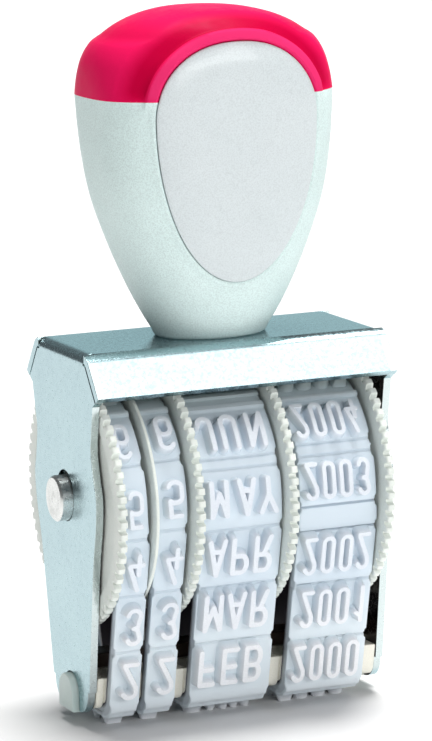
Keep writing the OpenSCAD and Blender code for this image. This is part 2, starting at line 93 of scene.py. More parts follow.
# Materials
def addNode(tree, kind, output, inputs, **settings):
    # Each input takes a value or is joined to a socket, and the output that is asked for comes back
    node = tree.nodes.new("ShaderNode" + kind)
    for name, value in settings.items():
        setattr(node, name, value)
    for name, value in inputs.items():
        if isinstance(value, bpy.types.NodeSocket):
            tree.links.new(value, node.inputs[name])
        else:
            node.inputs[name].default_value = value
    return node.outputs[output]


def spotsInMillimetres(tree, stretch=(1, 1, 1)):
    # Object coordinates, so that a pattern's scale counts in millimetres
    place = addNode(tree, "TexCoord", "Object", {})
    return addNode(tree, "Mapping", "Vector", {"Vector": place, "Scale": [1000.0 * k for k in stretch]})


def noise(tree, place, scale, detail=3.0, roughness=0.6):
    inputs = {"Vector": place, "Scale": scale, "Detail": detail, "Roughness": roughness}
    return addNode(tree, "TexNoise", "Fac", inputs)


def ramp(tree, value, *stops):
    # From one (position, colour) pair to another
    node = tree.nodes.new("ShaderNodeValToRGB")
    for element, (position, colour) in zip(node.color_ramp.elements, stops):
        element.position, element.color = position, (*colour, 1)
    tree.links.new(value, node.inputs["Fac"])
    return node.outputs["Color"]


def spread(tree, value, first, last, start=0.35, end=0.65):
    # first where the value is at start or before, last where it is at end or past it, and even between them
    inputs = {"Value": value, "From Min": start, "From Max": end, "To Min": first, "To Max": last}
    return addNode(tree, "MapRange", "Result", inputs)


def mixed(tree, share, one, two, mode="MIX"):
    # Input 0 is the share, and inputs 6 and 7 and output 2 are the ones for colours
    return addNode(tree, "Mix", 2, {0: share, 6: one, 7: two}, data_type="RGBA", blend_type=mode)


def addBump(tree, height, strength, distance, under=None):
    inputs = {"Height": height, "Strength": strength, "Distance": distance * mm}
    if under is not None:
        inputs["Normal"] = under
    return addNode(tree, "Bump", "Normal", inputs)


def newMaterial(name):
    material = bpy.data.materials.new(name)
    material.use_nodes = True
    return material, material.node_tree, material.node_tree.nodes["Principled BSDF"]


def reading(tree, what):
    # What a patch of painted light or shade goes by: the attribute depth or relief, the height Z, the distance X or
    # Y from the middle, or facing, which is 1 on a face that looks to the front or the back
    if what in ("depth", "relief"):
        return addNode(tree, "Attribute", "Fac", {}, attribute_name=what)
    if what == "facing":
        axis, vector = "Y", addNode(tree, "TexCoord", "Normal", {})
    else:
        axis, vector = what, spotsInMillimetres(tree)
    value = addNode(tree, "SeparateXYZ", axis, {"Vector": vector})
    return value if what == "Z" else addNode(tree, "Math", "Value", {0: value}, operation="ABSOLUTE")


def withPaintedLight(tree, colour, paintedLight):
    # A patch of painted light or shade is its colour and its rules. A rule is (reading, start, end, share at the
    # start, share at the end), in mm, and the shares of a patch's rules multiply.
    for paintColour, *rules in paintedLight:
        share = None
        for what, start, end, first, last in rules:
            part = spread(tree, reading(tree, what), first, last, start, end)
            if share is not None:
                part = addNode(tree, "Math", "Value", {0: share, 1: part}, operation="MULTIPLY")
            share = part
        colour = mixed(tree, share, colour, (*paintColour, 1))
    return colour


# Noise: features per mm, detail, roughness. A speck tone is (place on the noise, brightness), and a bump is its
# strength and its height in mm.
plasticLook = {
    "clouds": (0.12, 4, 0.55), "cloudEnds": (0.3, 0.7),
    "specks": (7, 2, 0.7), "speckTones": ((0.36, 0.74), (0.58, 1)),
    "wear": (0.7, 5), "wearSpread": (-0.05, 0.07), "swell": (0.35, 2, 0.4), "swellBump": (0.25, 0.06),
    "sockets": {"Coat Roughness": 0.12, "Specular IOR Level": 0.3},
}
steelLook = {
    "clouds": (0.22, 5), "cloudEnds": (0.32, 0.68),
    "specks": (2.6, 3, 0.7), "speckTones": ((0.3, 0.8), (0.5, 1)),
    "wear": (2.6, 3, 0.7), "wearSpread": (0.1, -0.03), "swell": (0.22, 5), "swellBump": (0.1, 0.05),
    "sockets": {"Metallic": 1},
}


def makeFinish(
        name, tint, shade, gloss, grain, look=plasticLook, mottle=0.2, stretch=(1, 1, 1), paintedLight=(), sockets={}):
    # Two close tones in soft clouds under fine specks, painted light and shade over them, patches of wear in the
    # gloss, a slight swell and the grain.
    # grain: features per mm, detail, bump height in mm, strength. stretch draws the grain out into lines.
    material, tree, shader = newMaterial(name)
    place = spotsInMillimetres(tree)
    clouds, specks, wear, swell = (noise(tree, place, *look[k]) for k in ("clouds", "specks", "wear", "swell"))
    (low, high), (rough, smooth) = look["cloudEnds"], look["wearSpread"]
    dust = ramp(tree, specks, *((spot, [tone] * 3) for spot, tone in look["speckTones"]))
    colour = mixed(tree, mottle, ramp(tree, clouds, (low, shade), (high, tint)), dust, "MULTIPLY")
    tree.links.new(withPaintedLight(tree, colour, paintedLight), shader.inputs["Base Color"])
    tree.links.new(spread(tree, wear, gloss + rough, gloss + smooth), shader.inputs["Roughness"])
    scale, detail, height, strength = grain
    fine = noise(tree, spotsInMillimetres(tree, stretch), scale, detail)
    normal = addBump(tree, fine, strength, height, addBump(tree, swell, *look["swellBump"]))
    tree.links.new(normal, shader.inputs["Normal"])
    setInputs(shader, look["sockets"] | sockets)
    return material


sheetPaintedLight = [
    # Painted shade: the top seen from inside, and the side plates' inner faces below the skirts, painted near black
    [(0.10, 0.11, 0.105), ("X", 15.21, 15.3, 1, 0), ("Y", 5.9, 6.3, 1, 0), ("Z", 37.33, 37.4, 1, 0)],
    [(0.06, 0.055, 0.05), ("X", 15.21, 15.3, 1, 0), ("Z", 33.0, 34.1, 1, 0)],
    # Painted reflection: the side plates' sheared edges that face the front or the back, painted paler than the
    # plated faces
    [(0.60, 0.68, 0.68), ("facing", 0.72, 0.9, 0, 1), ("X", 15.16, 15.24, 0, 1)],
]
capPaintedLight = [
    # Painted shade and highlight: the red is painted darker in the valley and above the crease, and painted paler on
    # the rim
    [(0.50, 0.001, 0.04), ("relief", -0.42, -0.02, 1, 0)],
    [(0.78, 0.03, 0.15), ("relief", 0.12, 0.36, 0, 1)],
]
bandPaintedShade = [
    # Painted shade, each patch painted darker: the fields between the characters and the characters' lower sides,
    # the grooves, the rows higher up the front, the rows under the frame's top, and the inside of the loop
    [(0.72, 0.80, 0.85), ("depth", 1.36, 2.3, 1, 0)],
    [(0.53, 0.59, 0.64), ("depth", 1.12, 1.31, 1, 0)],
    [(0.45, 0.56, 0.69), ("Z", 8.0, 14.0, 0, 0.3)],
    [(0.20, 0.27, 0.24), ("Z", 30.7, 33.5, 0, 0.8)],
    [(0.04, 0.035, 0.05), ("depth", 0.05, 0.5, 1, 0)],
]
shoePaintedLight = [
    # Painted shade: the rib above the shoe's top painted near black, and the stubs in the side plates painted
    # grey-green with a bluish painted reflection
    [(0.06, 0.04, 0.03), ("Z", 5.36, 5.6, 0, 1)],
    [(0.66, 0.78, 0.75), ("X", 15.2, 15.3, 0, 1)],
]
finishPlans = {
    "plated_sheet": {
        "name": "platedSheet", "look": steelLook, "tint": (0.395, 0.54, 0.575), "shade": (0.37, 0.51, 0.55),
        "gloss": 0.2, "grain": (6, 3, 0.01, 0.15), "stretch": (0.12, 1.6, 1.6), "paintedLight": sheetPaintedLight},
    "steel": {
        "name": "turnedSteel", "look": steelLook, "tint": (0.78, 0.79, 0.78), "shade": (0.62, 0.64, 0.63),
        "gloss": 0.27, "grain": (6, 3, 0.01, 0.3), "stretch": (1.5, 0.4, 0.4)},
    "handle_plastic": {
        "name": "handlePlastic", "tint": (0.705, 0.845, 0.83), "shade": (0.655, 0.795, 0.78),
        "gloss": 0.5, "grain": (5.5, 2, 0.05, 0.7), "mottle": 0.7},
    "panel_plastic": {
        "name": "panelPlastic", "tint": (0.64, 0.695, 0.71), "shade": (0.615, 0.675, 0.69),
        "gloss": 0.3, "grain": (3, 2, 0.015, 0.3), "mottle": 0.5, "sockets": {"Coat Weight": 0.2}},
    "cap_plastic": {
        "name": "capPlastic", "tint": (0.78, 0.009, 0.10), "shade": (0.73, 0.007, 0.09),
        "gloss": 0.42, "grain": (3.5, 2, 0.02, 0.35), "mottle": 0.12, "paintedLight": capPaintedLight,
        "sockets": {"Specular IOR Level": 0.03, "Specular Tint": (1, 0.3, 1, 1)}},
    "wheel_plastic": {
        "name": "wheelPlastic", "tint": (0.82, 0.86, 0.815), "shade": (0.75, 0.80, 0.755),
        "gloss": 0.36, "grain": (3, 2, 0.02, 0.35), "sockets": {"Coat Weight": 0.1}},
    "band_rubber": {
        "name": "bandRubber", "tint": (0.90, 0.92, 0.95), "shade": (0.85, 0.88, 0.92),
        "gloss": 0.46, "grain": (6, 2, 0.02, 0.45), "mottle": 0.22, "paintedLight": bandPaintedShade,
        "sockets": {"Sheen Weight": 0.05}},
    "shoe_plastic": {
        "name": "shoePlastic", "tint": (0.97, 0.95, 0.84), "shade": (0.92, 0.90, 0.79),
        "gloss": 0.38, "grain": (2.6, 2, 0.02, 0.35), "paintedLight": shoePaintedLight, "sockets": {"Coat Weight": 0.08}},
}
finishes = {slot: makeFinish(**plan) for slot, plan in finishPlans.items()}
print("materials made:", len(finishes))


# Meshes from arrays
def unit(vectors):
    return vectors / np.linalg.norm(vectors, axis=-1, keepdims=True)


def gridFaces(rows, columns, closeRows=False, closeColumns=False):
    # Quads of a grid of points kept row by row
    r = np.arange(rows if closeRows else rows - 1)[:, None]
    c = np.arange(columns if closeColumns else columns - 1)[None, :]
    right, below = (c + 1) % columns, (r + 1) % rows
    quads = np.stack([r * columns + c, r * columns + right, below * columns + right, below * columns + c], -1)
    return quads.reshape(-1, 4).tolist()


def patch(points, *closed):
    return points, gridFaces(*points.shape[:2], *closed)


def nodeBox(node):
    # Lowest and highest corner of a node, in mm
    return (np.array(corner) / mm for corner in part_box(node))


def dressMesh(name, mesh, slot, node, body="stamp", sharpAngle=35.0, flatFaces=False):
    # Puts a finished mesh into the scene as the piece that stands for a node
    mesh.shade_smooth()
    mesh.set_sharp_from_angle(angle=math.radians(sharpAngle))
    mesh.materials.append(finishes[slot])
    piece = addObject(name, mesh)
    if flatFaces:
        piece.modifiers.new("flatFaces", "WEIGHTED_NORMAL").keep_sharp = True
    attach(piece, body)
    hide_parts(node)
    return piece


def makePiece(name, parts, slot, node, weld=0.0004, lids=False, **looks):
    # parts: (points in mm, faces) pairs. They are joined and welded, and their normals point outwards. lids closes
    # the openings that are left, such as the handle's foot and the joint.
    points, faces, start = [], [], 0
    for somePoints, someFaces in parts:
        flat = np.asarray(somePoints, float).reshape(-1, 3)
        points.append(flat)
        faces += [[i + start for i in face] for face in someFaces]
        start += len(flat)
    mesh = bpy.data.meshes.new(name)
    mesh.from_pydata((np.concatenate(points) * mm).tolist(), [], faces)
    work = bmesh.new()
    work.from_mesh(mesh)
    bmesh.ops.remove_doubles(work, verts=work.verts, dist=weld * mm)
    bmesh.ops.dissolve_degenerate(work, edges=work.edges, dist=weld * mm * 0.5)
    bmesh.ops.recalc_face_normals(work, faces=work.faces)
    if lids:
        bmesh.ops.holes_fill(work, edges=[e for e in work.edges if e.is_boundary], sides=0)
        bmesh.ops.recalc_face_normals(work, faces=work.faces)
    work.to_mesh(mesh)
    work.free()
    return dressMesh(name, mesh, slot, node, **looks)


def roundOff(corners, radius, steps=4):
    # Rounds the corners of a closed outline: each corner gives way to an arc between points radius away
    corners = np.asarray(corners, float)
    radii = np.broadcast_to(np.asarray(radius, float), (len(corners),))
    out = []
    for corner, a, b, r in zip(corners, np.roll(corners, 1, 0), np.roll(corners, -1, 0), radii):
        if r <= 0:
            out.append(corner)
            continue
        u, v = unit(a - corner), unit(b - corner)
        t = np.linspace(0, 1, steps + 1)[:, None]
        # A quadratic arc from r along one side to r along the other, with the corner as its handle
        out += list((corner + r * u) * (1 - t) ** 2 + 2 * corner * t * (1 - t) + (corner + r * v) * t ** 2)
    return np.array(out)


# The train of thumbwheels on the axle
axlePlan = {
    "height": 22.85, "bodyRadius": 2.7, "endRadius": 2.3, "bodyHalf": 15.14, "endHalf": 17.25,
    "chamfer": 0.2, "segments": 96,
}


def turnAboutAxle(x, radius, angle):
    # Points at a radius from the axle, for each angle and each place x along it
    x, radius, angle = np.broadcast_arrays(x, radius, angle[:, None])
    return np.stack([x, radius * np.cos(angle), axlePlan["height"] + radius * np.sin(angle)], -1)


def evenTurn(count):
    return np.linspace(0, 2 * math.pi, count, endpoint=False)


def turnedAxle(plan):
    # Half of the profile from the middle to one end, then mirrored: body, shoulder, turned-down end, chamfer, face
    # with a shallow ring that the parting tool leaves
    r, e, half, end, c = (plan[k] for k in ("bodyRadius", "endRadius", "bodyHalf", "endHalf", "chamfer"))
    side = np.array([
        (0, r), (half - 0.12, r), (half - 0.03, r - 0.03), (half, r - 0.12), (half, e), (half + 0.03, e),
        (end - c, e), (end - 0.35 * c, e - 0.6 * c), (end, e - 1.1 * c), (end, e * 0.62),
        (end - 0.03, e * 0.58), (end - 0.03, 0.5), (end, 0.42), (end - 0.02, 0.0),
    ])
    profile = np.concatenate([side[:0:-1] * (-1, 1), side])
    return patch(turnAboutAxle(profile[:, 0], profile[:, 1], evenTurn(plan["segments"])), True, False)


makePiece("turned_axle", [turnedAxle(axlePlan)], "steel", "axle", flatFaces=True)

wheelPlan = {
    "outer": 13.0, "toothDepth": 0.72, "teeth": 66, "rim": 0.8, "drum": 9.45, "bore": 2.75,
    "flutes": 24, "fluteDepth": 0.3, "boreEdge": 0.14,
    # One side of the ring that is sunk in the outer face, as (depth, radius), and the radius of its middle
    "ring": [(0.0, 4.9), (0.03, 5.02), (0.15, 5.12), (0.18, 5.25)], "ringMiddle": 8.0,
    # The rounding over the teeth, as (in from the face, down from the tips)
    "edge": [(0.0, 0.26), (0.04, 0.1), (0.12, 0.02), (0.22, 0.0)],
    # Where the samples of one tooth lie, as shares of the pitch, and the half width and slope of its flat top
    "samples": [0.0, 0.07, 0.13, 0.17, 0.21, 0.27, 0.38, 0.5, 0.62, 0.73, 0.79, 0.83, 0.87, 0.93],
    "toothHalf": 0.365, "toothSlope": 0.13,
}


def smoothStep(value):
    value = np.clip(value, 0, 1)
    return value * value * (3 - 2 * value)


def thumbwheel(node, flangeAtLeft, plan):
    # A profile across the wheel, turned about the axle: bore, a shallow ring sunk in the outer face, the toothed
    # edge and the drum. Above the root circle the radius is root + (radius - root) * tooth(angle), where tooth is a
    # flat-topped wave with rounded shoulders.
    low, high = nodeBox(node)
    length, rim, outer, drum, bore = high[0] - low[0], plan["rim"], plan["outer"], plan["drum"], plan["bore"]
    root, soft, ring = outer - plan["toothDepth"], plan["boreEdge"], plan["ring"]
    edge = [(0.0, root - 0.05), (0.0, root + 0.1)] + [(x, outer - down) for x, down in plan["edge"]]
    profile = np.array(
        [(soft, bore), (0.0, bore + soft)] + ring + [(x, 2 * plan["ringMiddle"] - r) for x, r in ring[::-1]]
        + edge + [(rim / 2, outer)] + [(rim - x, r) for x, r in edge[::-1]]
        + [(rim, 10.9), (rim, drum + 0.25), (rim + 0.06, drum + 0.08), (rim + 0.22, drum), (rim + 0.5, drum)]
        + [(length - 0.3, drum), (length - 0.09, drum - 0.03), (length, drum - 0.12)]
        + [(length, bore + soft), (length - soft, bore)])
    samples = np.array(plan["samples"])
    angle = (np.arange(plan["teeth"])[:, None] + samples[None, :]).ravel() * (2 * math.pi / plan["teeth"])
    phase = np.tile(samples, plan["teeth"])
    tooth = smoothStep((plan["toothHalf"] - np.abs(phase - 0.5)) / plan["toothSlope"])
    flute = np.clip(np.cos(plan["flutes"] * angle), 0, 1) ** 3 * plan["fluteDepth"]
    radius = np.broadcast_to(profile[:, 1], (len(angle), len(profile)))
    radius = np.where(radius > root, root + (radius - root) * tooth[:, None], radius)
    onDrum = (profile[:, 0] > rim + 0.4) & (profile[:, 1] > drum - 0.2)
    x = low[0] + profile[:, 0] if flangeAtLeft else high[0] - profile[:, 0]
    return patch(turnAboutAxle(x, radius - flute[:, None] * onDrum, angle), True, True)


for wheel in ("day_tens", "day_units", "month", "year"):
    node = wheel + "_wheel"
    form = thumbwheel(node, wheel == "day_tens", wheelPlan)
    makePiece(wheel + "_thumbwheel", [form], "wheel_plastic", node, body=node, flatFaces=True)

ringPlans = {
    "day_divider": {"name": "day_divider_disc", "outer": 12.0, "bore": 2.75, "edge": 0.15, "sharpAngle": 50},
    "end_spacer": {"name": "end_collar", "outer": 4.5, "bore": 2.75, "edge": 0.12, "sharpAngle": 35},
}
for node, plan in ringPlans.items():
    # A disc or collar on the axle: a rectangle with its four corners rounded, turned about the axle
    low, high = nodeBox(node)
    corners = [(x, plan[r]) for x, r in ((low[0], "bore"), (high[0], "bore"), (high[0], "outer"), (low[0], "outer"))]
    section = roundOff(corners, plan["edge"])
    form = patch(turnAboutAxle(section[:, 0], section[:, 1], evenTurn(160)), True, True)
    makePiece(plan["name"], [form], "wheel_plastic", node, sharpAngle=plan["sharpAngle"])
print("thumbwheels made")


# Rubber bands with raised type
loopPlan = {
    "drumRadius": 9.6, "cornerRadius": 1.0, "cornerY": 3.8, "low": 2.45,
    "base": 0.9, "field": 0.45, "type": 1.1, "letterHeight": 4.15, "printPlace": -0.8,
    # How much squarer the moulded corner under the shoe is than the loop's own arc, and over what length
    "cornerBump": 0.26, "cornerSpan": 0.55,
    # How far a band's sides stand back from its node: under the fields, and in the grooves' notches
    "sideInset": 0.11, "notch": 0.19,
    # A band starts to narrow this far before the drum, and over this length. Step of the samples along the loop, and
    # how near an even sample may come to one at a groove.
    "narrowBefore": 1.5, "narrowLength": 4.0, "step": 0.35, "sampleGap": 0.12,
    # Lowest field in a groove, and the length over which a bar rises
    "leastField": 0.06, "barEdge": 0.12,
}
drumRadius, cornerRadius, cornerY, loopLow = (loopPlan[k] for k in ("drumRadius", "cornerRadius", "cornerY", "low"))
axleZ, cornerZ = axlePlan["height"], loopLow + cornerRadius
# The straight lean touches the small arc and the drum. Lengths are counted from the middle of the shoe.
reach = math.hypot(cornerY, axleZ - cornerZ)
radiusStep = drumRadius - cornerRadius
lean = math.asin(radiusStep / reach) - math.atan(cornerY / (axleZ - cornerZ))
cornerEnd = cornerY + cornerRadius * (math.pi / 2 - lean)
straightEnd = cornerEnd + math.sqrt(reach ** 2 - radiusStep ** 2)
halfLoop = straightEnd + drumRadius * (math.pi / 2 + lean)


def fromMiddle(s):
    return np.abs((s + halfLoop) % (2 * halfLoop) - halfLoop)


def loopPoint(s, t):
    # s runs along the inner loop from the middle of the shoe, positive to the back, and t outwards from it.
    # Each half is a level run under the shoe, a small arc, a straight lean and the arc round the drum.
    s, t = np.broadcast_arrays(np.asarray(s, float), np.asarray(t, float))
    s = (s + halfLoop) % (2 * halfLoop) - halfLoop
    d = np.abs(s)
    stretch = [d <= cornerY, d <= cornerEnd, d <= straightEnd]
    cornerTurn, drumTurn = -math.pi / 2 + (d - cornerY) / cornerRadius, -lean + (d - straightEnd) / drumRadius
    turn = np.select(stretch, [-math.pi / 2, cornerTurn, -lean], drumTurn)
    outY, outZ = np.cos(turn), np.sin(turn)
    leanY = cornerY + cornerRadius * math.cos(lean) + (d - cornerEnd) * math.sin(lean)
    leanZ = cornerZ - cornerRadius * math.sin(lean) + (d - cornerEnd) * math.cos(lean)
    y = np.select(stretch, [d, cornerY + cornerRadius * outY, leanY], drumRadius * outY)
    z = np.select(stretch, [loopLow, cornerZ + cornerRadius * outZ, leanZ], axleZ + drumRadius * outZ)
    return np.sign(s) * (y + t * outY), z + t * outZ


# The strokes of each character are lists of points in a box from -1 to 1 both ways
def arc(x, y, rx, ry, a, b):
    # Part of an ellipse about (x, y) with the radii rx and ry, from the angle a to the angle b
    turn = np.radians(np.linspace(a, b, max(3, int(abs(b - a) / 18) + 1)))
    return np.stack([x + rx * np.cos(turn), y + ry * np.sin(turn)], -1).tolist()


def roundForm(ry, first, last):
    # Half an ellipse at the top, from the angle first, and one at the foot, to the angle last
    return arc(0, 1 - ry, 1, ry, first, 180) + arc(0, ry - 1, 1, ry, 180, last)


def bowl(high, x, rx, ry):
    # From the stem at the height high to x, round half an ellipse and back to the stem
    return [(-0.9, high), (x, high)] + arc(x, high - ry, rx, ry, 90, -90) + [(-0.9, high - 2 * ry)]


stem = [(-0.9, -1), (-0.9, 1)]
thinStem = [(-0.85, -1), (-0.85, 1)]
topBar = [(-0.85, 1), (0.9, 1)]
glyphs = {
    "0": [roundForm(0.3, 0, 360) + [(1, 0.7)]],
    "1": [[(0.25, -1), (0.25, 1)], [(0.25, 1), (0.05, 0.72), (-0.75, 0.55)]],
    # i is a 1 with a foot
    "i": [[(0.15, -1), (0.15, 1)], [(0.15, 1), (0.0, 0.72), (-0.8, 0.55)], [(-0.8, -1), (1, -1)]],
    "2": [arc(0, 0.68, 1, 0.32, 165, 0) + [(0.95, 0.42), (-0.9, -0.9)], [(-0.95, -1), (1, -1)]],
    "3": [arc(0, 0.68, 0.95, 0.32, 165, -15) + [(0.55, 0.18), (0.0, 0.08)],
          [(0.0, 0.08), (0.6, 0.0)] + arc(0, -0.62, 1, 0.38, 35, -165)],
    "4": [[(0.35, 1), (-1, -0.42)], [(-1, -0.45), (1.1, -0.45)], [(0.45, 0.1), (0.45, -1)]],
    "5": [[(0.85, 1), (-0.75, 1)], [(-0.75, 1), (-0.85, 0.1)],
          [(-0.85, 0.1)] + arc(0, -0.1, 1, 0.32, 140, 0) + arc(0, -0.66, 1, 0.34, 0, -165)],
    "6": [roundForm(0.32, 20, 360) + arc(0, -0.2, 1, 0.32, 0, 165)],
    "7": [[(-1, 1), (1, 1)], [(1, 1), (0.1, 0.1), (-0.2, -1)]],
    "8": [arc(0, 0.58, 0.92, 0.42, -90, 270), arc(0, -0.44, 1, 0.56, 90, 450)],
    "9": [arc(0, -0.68, 1, 0.32, 200, 360) + arc(0, 0.68, 1, 0.32, 0, 180) + arc(0, 0.2, 1, 0.32, 180, 345)],
    "A": [[(-1, -1), (0, 1)], [(0, 1), (1, -1)], [(-0.62, -0.4), (0.62, -0.4)]],
    "B": [stem, bowl(1, 0.2, 0.7, 0.46), bowl(0.08, 0.3, 0.7, 0.54)],
    "C": [roundForm(0.34, 10, 350)],
    "D": [stem, [(-0.9, 1)] + arc(0, 0.6, 1, 0.4, 90, 0) + arc(0, -0.6, 1, 0.4, 0, -90) + [(-0.9, -1)]],
    "E": [thinStem, topBar, [(-0.85, 0.04), (0.7, 0.04)], [(-0.85, -1), (0.9, -1)]],
    "F": [thinStem, topBar, [(-0.85, 0.08), (0.7, 0.08)]],
    "G": [roundForm(0.34, 15, 360) + [(1, -0.05), (0.2, -0.05)]],
    "J": [[(0.8, 1)] + arc(0, -0.62, 0.8, 0.38, 0, -180)],
    "L": [thinStem[::-1], [(-0.85, -1), (0.9, -1)]],
    "M": [[(-1, -1), (-1, 1)], [(-1, 1), (0, -0.35)], [(0, -0.35), (1, 1)], [(1, 1), (1, -1)]],
    "N": [stem, [(-0.9, 1), (0.9, -1)], [(0.9, -1), (0.9, 1)]],
    "O": [roundForm(0.38, 0, 360) + [(1, 0.62)]],
    "P": [stem, bowl(1, 0.2, 0.75, 0.5)],
    "R": [stem, bowl(1, 0.2, 0.75, 0.48), [(0.1, 0.04), (0.95, -1)]],
    "S": [arc(0, 0.6, 0.95, 0.4, 20, 200) + [(-0.6, 0.16), (0.6, -0.12)] + arc(0, -0.58, 1, 0.42, 25, -160)],
    "T": [[(-1, 1), (1, 1)], [(0, 1), (0, -1)]],
    "U": [[(-0.9, 1)] + arc(0, -0.6, 0.9, 0.4, 180, 360) + [(0.9, 1)]],
    "V": [[(-1, 1), (0, -1)], [(0, -1), (1, 1)]],
    "Y": [[(-1, 1), (0, -0.05)], [(1, 1), (0, -0.05)], [(0, -0.05), (0, -1)]],
}


def evenSteps(path, step):
    # The path with points added, so that none is further than step from the next
    path = np.asarray(path, float)
    path = path[np.concatenate([[True], np.linalg.norm(np.diff(path, axis=0), axis=1) > 1e-4])]
    out = [path[:1]]
    for a, b in zip(path[:-1], path[1:]):
        count = max(1, math.ceil(np.linalg.norm(b - a) / step))
        out.append(a + (b - a) * (np.arange(1, count + 1) / count)[:, None])
    return np.concatenate(out)


def strokeOutline(path, width):
    # Offsets half a width to both sides of the path, with a round end at each end. A closed path gives two loops.
    ahead = unit(np.diff(path, axis=0))
    closed = np.linalg.norm(path[0] - path[-1]) < 1e-6
    if closed:
        path = path[:-1]
        way = ahead + np.roll(ahead, 1, 0)
    else:
        way = np.concatenate([ahead[:1], ahead[:-1] + ahead[1:], ahead[-1:]])
    way = unit(way)
    side = np.stack([-way[:, 1], way[:, 0]], -1) * width / 2
    if closed:
        return [path + side, (path - side)[::-1]]
    turn = np.radians(np.arange(30, 180, 30))[:, None]
    last = path[-1] + side[-1] * np.cos(turn) + way[-1] * width / 2 * np.sin(turn)
    first = path[0] - side[0] * np.cos(turn) - way[0] * width / 2 * np.sin(turn)
    return [np.concatenate([path + side, last, (path - side)[::-1], first])]


strokeStep = 0.42  # the furthest that the points along a stroke stand apart


def glyphShape(character, width, height, stroke):
    # The outlines of all strokes are cut into one triangulation. A triangle belongs to the character
    # when its middle lies within half a stroke of some stroke's line.
    half = np.array([(width - stroke) / 2, (height - stroke) / 2])
    paths = [evenSteps(np.array(path, float) * half, strokeStep) for path in glyphs[character]]
    points, edges = [], []
    for path in paths:
        for loop in strokeOutline(path, stroke):
            first = len(points)
            points += [Vector(p) for p in loop]
            edges += [(first + i, first + (i + 1) % len(loop)) for i in range(len(loop))]
    points, _, triangles, *_ = delaunay_2d_cdt(points, edges, [], 0, 1e-5)
    points = np.array([tuple(p) for p in points])
    triangles = np.array([list(t) for t in triangles])
    middles = points[triangles].mean(1)
    nearest = np.full(len(middles), np.inf)
    for path in paths:
        a, b = path[:-1], path[1:]
        along = b - a
        share = ((middles[:, None] - a) * along).sum(-1) / (along ** 2).sum(-1)
        foot = a + along * np.clip(share, 0, 1)[..., None]
        nearest = np.minimum(nearest, np.linalg.norm(middles[:, None] - foot, axis=-1).min(1))
    return points, triangles[nearest < stroke / 2 + 1e-4]


# A character's section from its top to its foot: how far out from the rim in mm, plus a share of the draft, and how
# high, as a share of its rise
glyphLevels = [(-0.035, 0, 1.0), (0, 0, 0.96), (0, 0.3, 0.6), (0, 0.65, 0.25), (0, 1.25, -0.04)]


def raisedGlyph(character, width, height, stroke, rise, draft):
    # The flat top, and drafted sides down from its rim: each level moves the rim's points out along
    # their normals. The foot is closed with the same triangles turned over.
    points, triangles = glyphShape(character, width, height, stroke)
    edges = np.concatenate([triangles[:, [0, 1]], triangles[:, [1, 2]], triangles[:, [2, 0]]])
    known = {tuple(e) for e in edges.tolist()}
    rim = np.array([e for e in edges.tolist() if (e[1], e[0]) not in known])
    normal = np.zeros_like(points)
    way = unit(points[rim[:, 1]] - points[rim[:, 0]])
    outward = np.stack([way[:, 1], -way[:, 0]], -1)
    for column in (0, 1):
        np.add.at(normal, rim[:, column], outward)
    size = np.linalg.norm(normal, axis=1)
    normal[size > 0] *= (2 / np.maximum(size[size > 0], 1.2) ** 2)[:, None]
    count = len(points)
    levels = [(out + share * draft, up) for out, share, up in glyphLevels]
    layers = np.concatenate([
        np.column_stack([points + normal * out, np.full(count, up * rise)]) for out, up in levels])
    faces = triangles.tolist()
    foot = (len(levels) - 1) * count
    faces += (triangles[:, ::-1] + foot).tolist()
    for k in range(len(levels) - 1):
        a, b = rim[:, 0] + k * count, rim[:, 1] + k * count
        faces += np.stack([b, a, a + count, b + count], -1).tolist()
    return layers, faces


glyphStore = {}
# Offsets of the samples round each groove and bar, the same to both sides
closeSteps = np.array([0.03, 0.08, 0.13, 0.2, 0.3, 0.42, 0.5, 0.6])
closeSteps = np.concatenate([-closeSteps[::-1], [0], closeSteps])


def bandSamples(plan):
    # Places along the loop: even steps, and a close set round each groove and bar
    places = [place for place, _, _ in plan["grooves"]] + [place for place, _, _ in plan["bars"]]
    marks = (np.array(places)[:, None] + closeSteps).ravel()
    even = np.arange(-halfLoop, halfLoop, loopPlan["step"])
    even = even[np.abs(even[:, None] - marks[None, :]).min(1) > loopPlan["sampleGap"]]
    s = np.sort(np.concatenate([even, marks]))
    return s[np.concatenate([[True], np.diff(s) > 0.004])]


